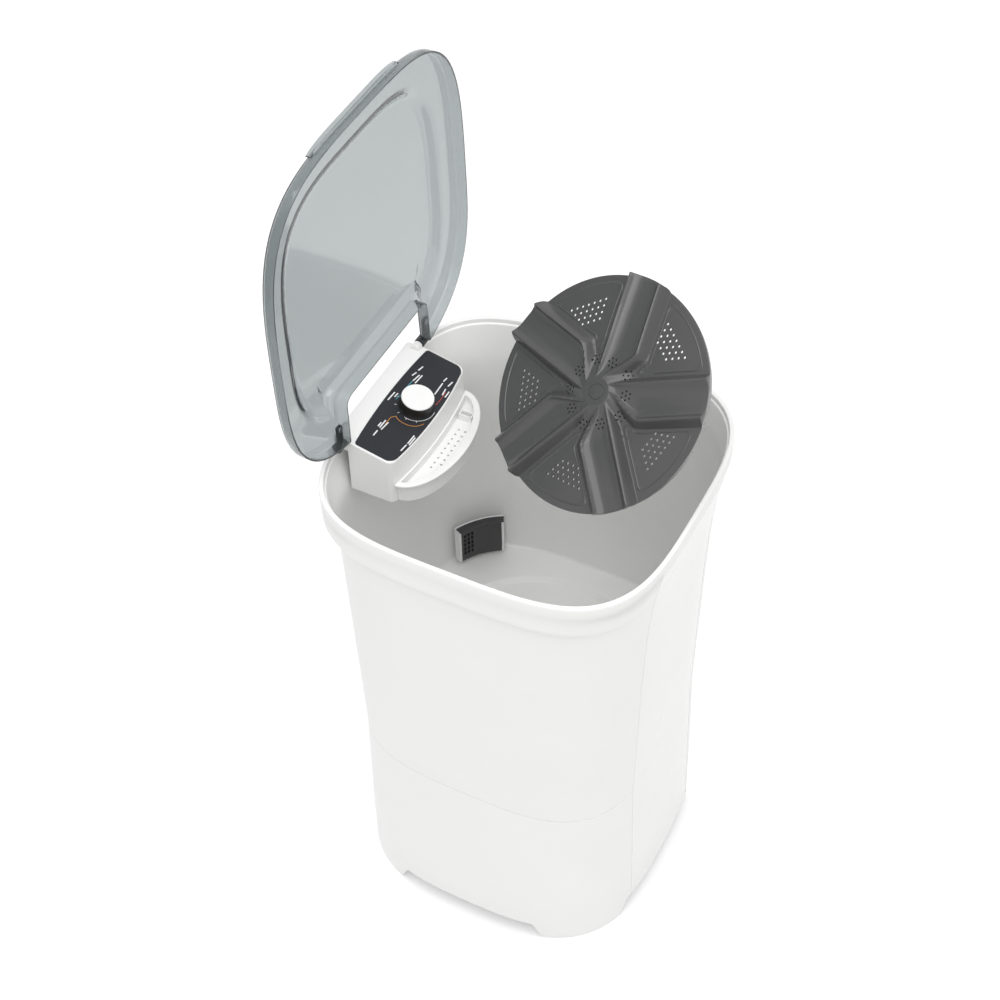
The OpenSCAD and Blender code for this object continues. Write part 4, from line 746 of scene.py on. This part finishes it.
def build_cup():
    """Half-oval cup: rows of (half width, reach, height) swept round a half ellipse and closed by a
    back that follows the console's bow."""
    back = CONSOLE_Y - RUN
    top, low = RIM_Z - 45.0, CONSOLE_LOW + RUN
    floor = top - 16
    # underside of the floor, down the inner skirt, outside up, over the rim, down to the sieve floor
    rows = rounded([(100, 32, floor - WALL), (111, 41.5, floor - WALL), (111, 41.5, low),
                    (114.5, 48.5, low), (114.5, 48.5, top - 5), (122, 56, top - 4.5), (122, 56, top),
                    (111, 41.5, top), (111, 41.5, floor), (98, 30, floor)],
                   [0, 2, 0.8, 0.8, 3, 1.5, 2, 2, 5, 0], 5)
    t = np.radians(np.linspace(180, 360, 121))
    rings = []
    for a, b, z in rows:
        rear = back - (0 if a > 111.5 else WALL)
        bow = front_bow(a)
        arc = np.column_stack([a * np.cos(t), rear + (b + bow) * np.sin(t) + bow, np.full(121, z)])
        x = np.linspace(a, -a, 42)[1:-1]
        rings.append(np.concatenate([arc, np.column_stack([x, rear + front_bow(x), np.full(40, z)])]))
    points, faces = stack(rings)
    cup = mesh("dispenser_shell", points, faces, CONSOLE_WHITE, "dispenser", ["dispenser_cup"],
               smooth=35)
    holes = [rod((i * 12, back - WALL - j * 12), 2, floor - 5, floor + 3, 12)
             for i in range(-4, 5) for j in (1, 2)]
    cut(cup, holes, 35)


# Lint filter and hinge arms

FILTER_TURN, FILTER_R, FILTER_LOW = 46.5, 138.0, FLOOR_Z + 10.5
FILTER_H, FILTER_T, FRAME_T = 84.0, 11.0, 4.0
CASE_ANGLE, FRAME_ANGLE = 16.5, 18.5


def filter_reach():
    """Distance of the filter's hollow front from the tub's axis: 28 short of the wall at its foot."""
    a, _, b, p = wall_at(FILTER_LOW)
    t = math.radians(FILTER_TURN)
    return ((math.cos(t) / a) ** p + (math.sin(t) / b) ** p) ** (-1 / p) - WALL - 28.0


def arc_box(r0, r1, a0, a1, z0, z1, soft=0.8, steps=32):
    """Rectangle of radius and height with rounded corners, carried round the filter's axis from
    angle a0 to a1."""
    middle = (r0, (z0 + z1) / 2)
    rows = rounded([middle, (r0, z1), (r1, z1), (r1, z0), (r0, z0), middle],
                   [0, soft, soft, soft, soft, 0], 4)[:-1]
    turn = np.radians(np.linspace(a0, a1, steps))[:, None]
    x, y = rows[:, 0] * np.cos(turn), rows[:, 0] * np.sin(turn)
    return stack(np.stack([x, y, np.broadcast_to(rows[:, 1], x.shape)], -1))


def in_corner(points):
    """Places filter points, drawn about the axis of its hollow front, in the tub's rear corner."""
    t = math.radians(FILTER_TURN)
    c, s = math.cos(t), math.sin(t)
    x, y = points[:, 0] + filter_reach() - FILTER_R, points[:, 1]
    return np.column_stack([x * c - y * s, x * s + y * c, points[:, 2]])


def build_filter():
    """Cartridge with a pocket and windows, its top ledge, and the rails that hold it, each a box
    carried round the filter's axis."""
    low, r = FILTER_LOW + RUN, FILTER_R
    points, faces = arc_box(r, r + FILTER_T, -CASE_ANGLE, CASE_ANGLE, low, low + FILTER_H - 0.1, 1.2)
    case = mesh("filter_cartridge", in_corner(points), faces, FILTER_GREY, "filter",
                ["lint_filter"], smooth=35)
    cutters = [arc_box(r + FRAME_T, r + FILTER_T - FRAME_T, -CASE_ANGLE + 1.5, CASE_ANGLE - 1.5,
                       low + FRAME_T, low + FILTER_H - FRAME_T, 0.3, 16)]
    for i in range(3):
        for j in range(5):
            middle = CASE_ANGLE - 3 - 3.2 * i
            half = math.degrees(2.5 / r)
            z = low + 16 + 11.5 * j
            cutters.append(arc_box(r - 1, r + FRAME_T + 1, middle - half, middle + half,
                                   z, z + 8, 0.5, 4))
    cut(case, [(in_corner(p), f) for p, f in cutters], 35)
    top = low + FILTER_H
    points, faces = arc_box(r - FRAME_T, r + FILTER_T - 1, -FRAME_ANGLE, FRAME_ANGLE, top, top + 2, 0.7)
    mesh("filter_top_ledge", in_corner(points), faces, FILTER_GREY, "filter",
         smooth=35)
    z, top, gap = FILTER_LOW, FILTER_LOW + FILTER_H, CASE_ANGLE + 0.2
    rails = [arc_box(r, r + FILTER_T + FRAME_T, side * gap, side * FRAME_ANGLE, z, top, 0.7, 8)
             for side in (-1, 1)]
    rails[0] = (rails[0][0], [f[:, ::-1] for f in rails[0][1]])
    back = arc_box(r + FILTER_T + RUN, r + FILTER_T + FRAME_T, -gap, gap, z, top, 0.5)
    foot = arc_box(r + FILTER_T + 1, r + FILTER_T + 3, -CASE_ANGLE, CASE_ANGLE, FLOOR_Z, z + 10.5, 0.4)
    points, faces = joined(*rails, back, foot)
    mesh("filter_rails", in_corner(points), faces, CONSOLE_WHITE, "cabinet", ["filter_frame"],
         smooth=35)


def build_arms():
    """Straps with rounded edges under the lid, each screwed at its end, and the bored knuckles on the
    hinge pins."""
    half, top, thick, length, bolt, knuckle_x = 6.0, HINGE_Z - 2.8, 6.0, 48.0, 3.3, 136.8
    end = HINGE_Y - length
    straps, knuckles, holes = [], [], []
    for side in (-1, 1):
        x0 = side * 141.3
        section = rounded([(0, top), (half, top), (half, top - thick), (-half, top - thick),
                           (-half, top), (0, top)], [0, 1.2, 1.2, 1.2, 1.2, 0], 4)[:-1]
        middle = np.array([0, top - thick / 2])
        rings = []
        for y, share in ((HINGE_Y, 1.0), (end + 1.2, 1.0), (end + 0.3, 0.9), (end, 0.75)):
            flat = middle + (section - middle) * share
            rings.append(np.column_stack([x0 + flat[:, 0], np.full(len(flat), y), flat[:, 1]]))
        points, faces = stack(rings)
        straps.append((points, [f[:, ::-1] for f in faces]))
        rows = rounded([(9, 0), (9, 10.5), (3.06, 10.5), (3.06, -10.5), (9, -10.5), (9, 0)],
                       [0, 1, 0.4, 0.4, 1, 0], 4)[:-1]
        p, f = stack(turned(rows, 64), closed=True)
        knuckles.append((on_pin(p, side * knuckle_x), f))
        holes.append(rod((x0, end + 6), bolt, top - thick - 2, top + 2, 32, opened))
        bore, f = rod((0, 0), 3.2, -12, 12, 32)
        holes.append((opened(on_pin(bore, side * knuckle_x)), f))
    points, faces = joined(*straps)
    piece = mesh("hinge_straps", opened(points), faces, ARM_GREY, "lid_assembly", ["hinge_arms"],
                 smooth=35)
    cut(piece, holes, 35)
    points, faces = joined(*knuckles)
    mesh("hinge_knuckles", opened(points), faces, ARM_GREY, "lid_assembly", smooth=35)


# Agitator

TILT, TURN = math.radians(43.7), math.radians(157.0)
NORMAL = np.array([math.sin(TILT) * math.cos(TURN), math.sin(TILT) * math.sin(TURN), math.cos(TILT)])
SHOWN, DISC_Z = np.array([39.5, -106.0, 1131.5]), 446.0
_raw = np.cross(np.array([0, 0, 1.0]) - NORMAL, SHOWN - [0, 0, DISC_Z])
SWING = _raw / np.linalg.norm(_raw)
_upright = np.array([0, 0, 1.0]) - SWING * (np.array([0, 0, 1.0]) @ SWING)
_tipped = NORMAL - SWING * (NORMAL @ SWING)
SWING_ANGLE = math.atan2(SWING @ np.cross(_upright, _tipped), _upright @ _tipped)


def taken_out(points):
    """Places agitator points, drawn about its own axis with the disc's face at z = 0, where it stands
    taken out."""
    p = np.asarray(points, float)
    c, s = math.cos(SWING_ANGLE), math.sin(SWING_ANGLE)
    return SHOWN + p * c + np.cross(SWING, p) * s + (p @ SWING)[..., None] * SWING * (1 - c)


VANES, DISC_R, SECTOR = 5, 188.0, 2 * math.pi / 5
# Distance from the axis where the vanes begin, the length of their bend, and the reach of the fields
VANE_FROM, BEND, FIELD_R = 14, 64, 176
# Vane profile: place across the vane (0 leading foot, 1 first ridge, 2 second ridge, 3 trailing foot),
# then the height there as a share of the ridge's height and of the trough's drop below it
PROFILE = rounded([(0, -0.12, 0), (0.1, 0.02, 0), (0.8, 0.92, 0), (1, 1, 0), (1.12, 1, 0.6),
                   (1.3, 1, 1), (1.75, 1, 1), (1.93, 1, 0.55), (2, 1, 0), (2.25, 0.84, 0),
                   (2.9, 0.04, 0), (3, -0.12, 0)],
                  [0, 0.1, 0.15, 0.08, 0.06, 0.12, 0.12, 0.05, 0.07, 0.1, 0.1, 0], 6)
# Places across the vane that get a column each, closer together at its feet and ridges
ACROSS = np.concatenate([np.linspace(*span) for span in (
    (0, 0.2, 5), (0.35, 0.75, 4), (0.85, 1.2, 10), (1.27, 1.8, 8), (1.86, 2.2, 10), (2.35, 2.75, 4),
    (2.84, 3, 4))])


def vane_lines(x):
    """Places across a vane at distance x from the axis: its two feet and its two ridges."""
    bend = ease((x - VANE_FROM) / BEND)
    foot = -61 * mix(0.3, 1.0, np.clip((x - VANE_FROM) / 53, 0, 1))
    return 22.0 + 0 * x, 9.0 + 0 * x, mix(2.5, -46.0, bend), foot


def soft_max(a, b, reach):
    """Larger of two heights, blended by a quadratic where they are closer than reach."""
    h = np.maximum(reach - np.abs(a - b), 0) / reach
    return np.maximum(a, b) + h * h * reach / 4


def disc_height(x, y):
    """Height of the disc's upper face over the level z = 0: the blended maximum of the hub's cone and
    of five vanes, each its profile across times its height along, and a raised line round each field."""
    r = np.hypot(x, y)
    z = soft_max(np.zeros_like(r), np.minimum(15, 15 * (62 - r) / 40), 4)
    line = np.full_like(r, -50.0)
    sides = []
    for k in range(VANES):
        c, s = math.cos(k * SECTOR), math.sin(k * SECTOR)
        u, v = c * x + s * y, c * y - s * x
        y0, y1, y2, y3 = vane_lines(u)
        t = sum(np.clip((a - v) / (a - b), 0, 1) for a, b in ((y0, y1), (y1, y2), (y2, y3)))
        ridge = mix(14.0, 20.0, np.clip((u - VANE_FROM) / (DISC_R - VANE_FROM), 0, 1))
        drop = ridge * mix(0.2, 0.55, ease((u - VANE_FROM) / BEND))
        rise, dip = (np.interp(t, PROFILE[:, 0], PROFILE[:, i]) for i in (1, 2))
        z = soft_max(z, np.where(u > VANE_FROM, ridge * rise - drop * dip, -5.0), 1.6)
        sides.append((np.where(u > 0, v - 27, -50.0), np.where(u > 0, y3 - 5 - v, -50.0)))
    for k in range(VANES):
        inside = -soft_max(-sides[k][0], -sides[(k + 1) % VANES][1], 12)
        line = np.maximum(line, -soft_max(-inside, r - FIELD_R, 12))
    return z + 0.9 * (1 - ease(np.abs(line) / 1.1))


def disc_angles(r):
    """Angles of the columns of one sector at radius r, from the trailing foot of a vane to that of
    the next. The place x along the vane follows from x^2 + y^2 = r^2 in a few rounds."""
    x = np.full(len(ACROSS), r)
    for _ in range(5):
        lines = np.array(vane_lines(x))
        spans = [mix(lines[i], lines[i + 1], np.clip(ACROSS - i, 0, 1)) - lines[i] for i in range(3)]
        y = sum(spans) + lines[0]
        x = np.sqrt(np.maximum(r * r - y * y, (0.2 * r) ** 2))
    beyond = np.array([1.5, 3.9, 4.4, 5, 5.6, 6.1, 8])
    lead, far = 22.0 + beyond, lines[3][-1] - beyond
    place = np.concatenate([far[::-1], y[::-1], lead])
    angles = np.arcsin(np.clip(place / r, -0.97, 0.97)) + np.linspace(0, 1e-3, len(place))
    room = math.radians(66) / max(math.radians(66), angles[-1] - angles[0])
    angles = angles * room
    between = np.linspace(angles[-1], angles[0] + SECTOR, 18)[1:-1]
    return np.concatenate([angles, between])


def build_agitator():
    """Polar grid whose columns run along the ridges and feet of the vanes, closed by the rim, the
    skirt and the bore."""
    radii = np.concatenate([[12.35, 12.6, 13.2], np.arange(15, 62, 1.5), np.arange(62, 170, 3),
                            np.arange(170, 181, 0.6), [182.5, 184.5, 186.2]])
    angles = np.array([np.concatenate([disc_angles(max(r, 23)) + k * SECTOR for k in range(VANES)])
                       for r in radii])
    x, y = radii[:, None] * np.cos(angles), radii[:, None] * np.sin(angles)
    z = np.where(radii[:, None] < 13, 15 - 0.4 * (radii[:, None] < 12.5), disc_height(x, y))
    top = np.stack([x, y, z], -1)
    turn, height = angles[-1], z[-1]
    count = len(turn)

    def ring(r, level):
        r, level = np.broadcast_to(r, count), np.broadcast_to(level, count)
        return np.column_stack([r * np.cos(turn), r * np.sin(turn), level])

    flare, low_flare = 3 * np.clip(height / 6, 0, 1), 3 * np.clip(height / 12, 0, 1)
    rim = [ring(DISC_R - 0.6 + flare, height - 0.25), ring(DISC_R - 0.1 + flare, height - 0.9),
           ring(DISC_R - 0.05 + low_flare, height * 0.5 - 1), ring(DISC_R - 0.1, -1.5),
           ring(185.4, -11.4), ring(185.0, -12), ring(182.6, -12), ring(182, -11.6), ring(182, -3.4),
           ring(181.4, -3)]
    bore = [ring(19.05, 8.65), ring(19.05, -2.8), ring(19.3, -3), ring(60, -3), ring(120, -3)]
    recess = [ring(12.32, 13.0)]
    rings = bore + rim[::-1] + list(top[::-1]) + recess
    points, faces = stack(rings)
    piece = mesh("agitator_disc_shell", taken_out(points), faces, AGITATOR_GREY, "agitator_disc",
                 ["agitator"], smooth=28)
    # Groups of holes: their middle's angle, the holes in each row, the first row's distance from the
    # axis, the steps from row to row and from hole to hole, the holes' radius and their foot
    groups = ((31, (7, 6, 5, 4), 147, -9.3, 10.5, 2.2, -6), (-9, (2, 3, 2), 44, 6.5, 7, 1.5, 3),
              (27, (2, 3, 2), 48, 6.5, 7, 1.5, -1))
    holes = []
    for k in range(VANES):
        for middle, rows, first, step, pitch, r, low in groups:
            a = k * SECTOR + math.radians(middle)
            for i, n in enumerate(rows):
                for j in range(n):
                    u, v = first + i * step, (j - (n - 1) / 2) * pitch
                    place = (u * math.cos(a) - v * math.sin(a), u * math.sin(a) + v * math.cos(a))
                    holes.append(rod(place, r, low, 25, 12, taken_out))
    cut(piece, holes, 28)
    cap = rounded([(0, 13.05), (12, 13.05), (12, 15), (0, 15)], [0, 0, 0.6, 0], 5)
    points, faces = lathe(cap, 72)
    mesh("agitator_cap_disc", taken_out(points), faces, AGITATOR_GREY, "agitator_carrier",
         ["agitator_cap"])


# Floor, light and camera

# Half width of the floor in metres, its glow to the eye, and the strength of the world's light
FLOOR_HALF, FLOOR_GLOW, WORLD_LIGHT = 12.0, 0.34, 0.66
# Area lamps: name, place and width in metres, and power in watts. All are turned to AIM
LAMPS = (("key", (-2.2, -1.0, 3.4), 1.8, 16), ("overhead", (-0.5, -0.3, 3.4), 2.6, 50))
AIM = Vector((0, 0, 0.7))
SENSOR_W = 36.0


def seen_rays(tree):
    """1 for rays from the camera and for those that glass or a glossy surface sends on, and 0 for
    light itself."""
    path = add(tree, "ShaderNodeLightPath").outputs
    onward = add(tree, "ShaderNodeMath", {0: path["Is Glossy Ray"], 1: path["Is Transmission Ray"]},
                 operation="MAXIMUM")
    return add(tree, "ShaderNodeMath", {0: path["Is Camera Ray"], 1: onward.outputs[0]},
               operation="MAXIMUM").outputs[0]


def build_stage():
    """Matte white floor that glows to the eye, a white world, and two area lamps."""
    m = bpy.data.materials.new("studio_floor")
    m.use_nodes = True
    tree = m.node_tree
    tree.nodes.clear()
    matte = add(tree, "ShaderNodeBsdfDiffuse", {"Color": [0.9, 0.9, 0.9, 1]})
    glow = add(tree, "ShaderNodeEmission", {"Color": [1, 1, 1, 1], "Strength": FLOOR_GLOW})
    lit = add(tree, "ShaderNodeAddShader", {0: matte.outputs[0], 1: glow.outputs[0]})
    mixed = add(tree, "ShaderNodeMixShader", {0: seen_rays(tree), 1: matte.outputs[0], 2: lit.outputs[0]})
    add(tree, "ShaderNodeOutputMaterial", {"Surface": mixed.outputs[0]})
    data = bpy.data.meshes.new("studio_floor")
    size = FLOOR_HALF
    data.from_pydata([(-size, -size, 0), (size, -size, 0), (size, size, 0), (-size, size, 0)], [],
                     [(0, 1, 2, 3)])
    floor = bpy.data.objects.new("studio_floor", data)
    data.materials.append(m)
    bpy.context.scene.collection.objects.link(floor)

    world = bpy.data.worlds.new("studio")
    bpy.context.scene.world = world
    world.use_nodes = True
    tree = world.node_tree
    tree.nodes.clear()
    seen = add(tree, "ShaderNodeBackground", {"Color": [1, 1, 1, 1], "Strength": 1.0})
    light = add(tree, "ShaderNodeBackground", {"Color": [1, 1, 1, 1], "Strength": WORLD_LIGHT})
    both = add(tree, "ShaderNodeMixShader", {0: seen_rays(tree), 1: light.outputs[0], 2: seen.outputs[0]})
    add(tree, "ShaderNodeOutputWorld", {"Surface": both.outputs[0]})

    for name, place, size, watts in LAMPS:
        lamp = bpy.data.lights.new(name, "AREA")
        lamp.size = size
        lamp.energy = watts
        holder = bpy.data.objects.new(name, lamp)
        holder.location = place
        holder.rotation_euler = (AIM - Vector(place)).to_track_quat("-Z", "Y").to_euler()
        bpy.context.scene.collection.objects.link(holder)


def build_camera():
    """Camera fitted to the photograph: its place, the turn of its axes and a focal length in image
    widths."""
    place = np.array([-1956.537, -1001.8705, 3264.8901])
    yaw, pitch, roll, focal = 0.494978, -0.826435, -0.028574, 1.9785806
    ahead = np.array([math.cos(pitch) * math.cos(yaw), math.cos(pitch) * math.sin(yaw), math.sin(pitch)])
    right = np.cross(ahead, [0, 0, 1.0])
    right /= np.linalg.norm(right)
    up = np.cross(right, ahead)
    r = math.cos(roll) * right + math.sin(roll) * up
    u = -math.sin(roll) * right + math.cos(roll) * up
    data = bpy.data.cameras.new("photo_camera")
    data.sensor_width = SENSOR_W
    data.sensor_fit = "HORIZONTAL"
    data.lens = SENSOR_W * focal
    camera = bpy.data.objects.new("photo_camera", data)
    turn = Matrix([[r[i], u[i], -ahead[i], 0] for i in range(3)] + [[0, 0, 0, 1]])
    camera.matrix_world = Matrix.Translation(Vector(place * MM)) @ turn
    bpy.context.scene.collection.objects.link(camera)
    bpy.context.scene.camera = camera


build_camera()
build_stage()
build_tank()
build_skirt()
build_panel()
build_lid()
build_grip()
build_arms()
build_console()
build_label()
build_marks()
build_knob()
build_cup()
build_filter()
build_agitator()
bpy.context.scene.view_settings.view_transform = "Standard"
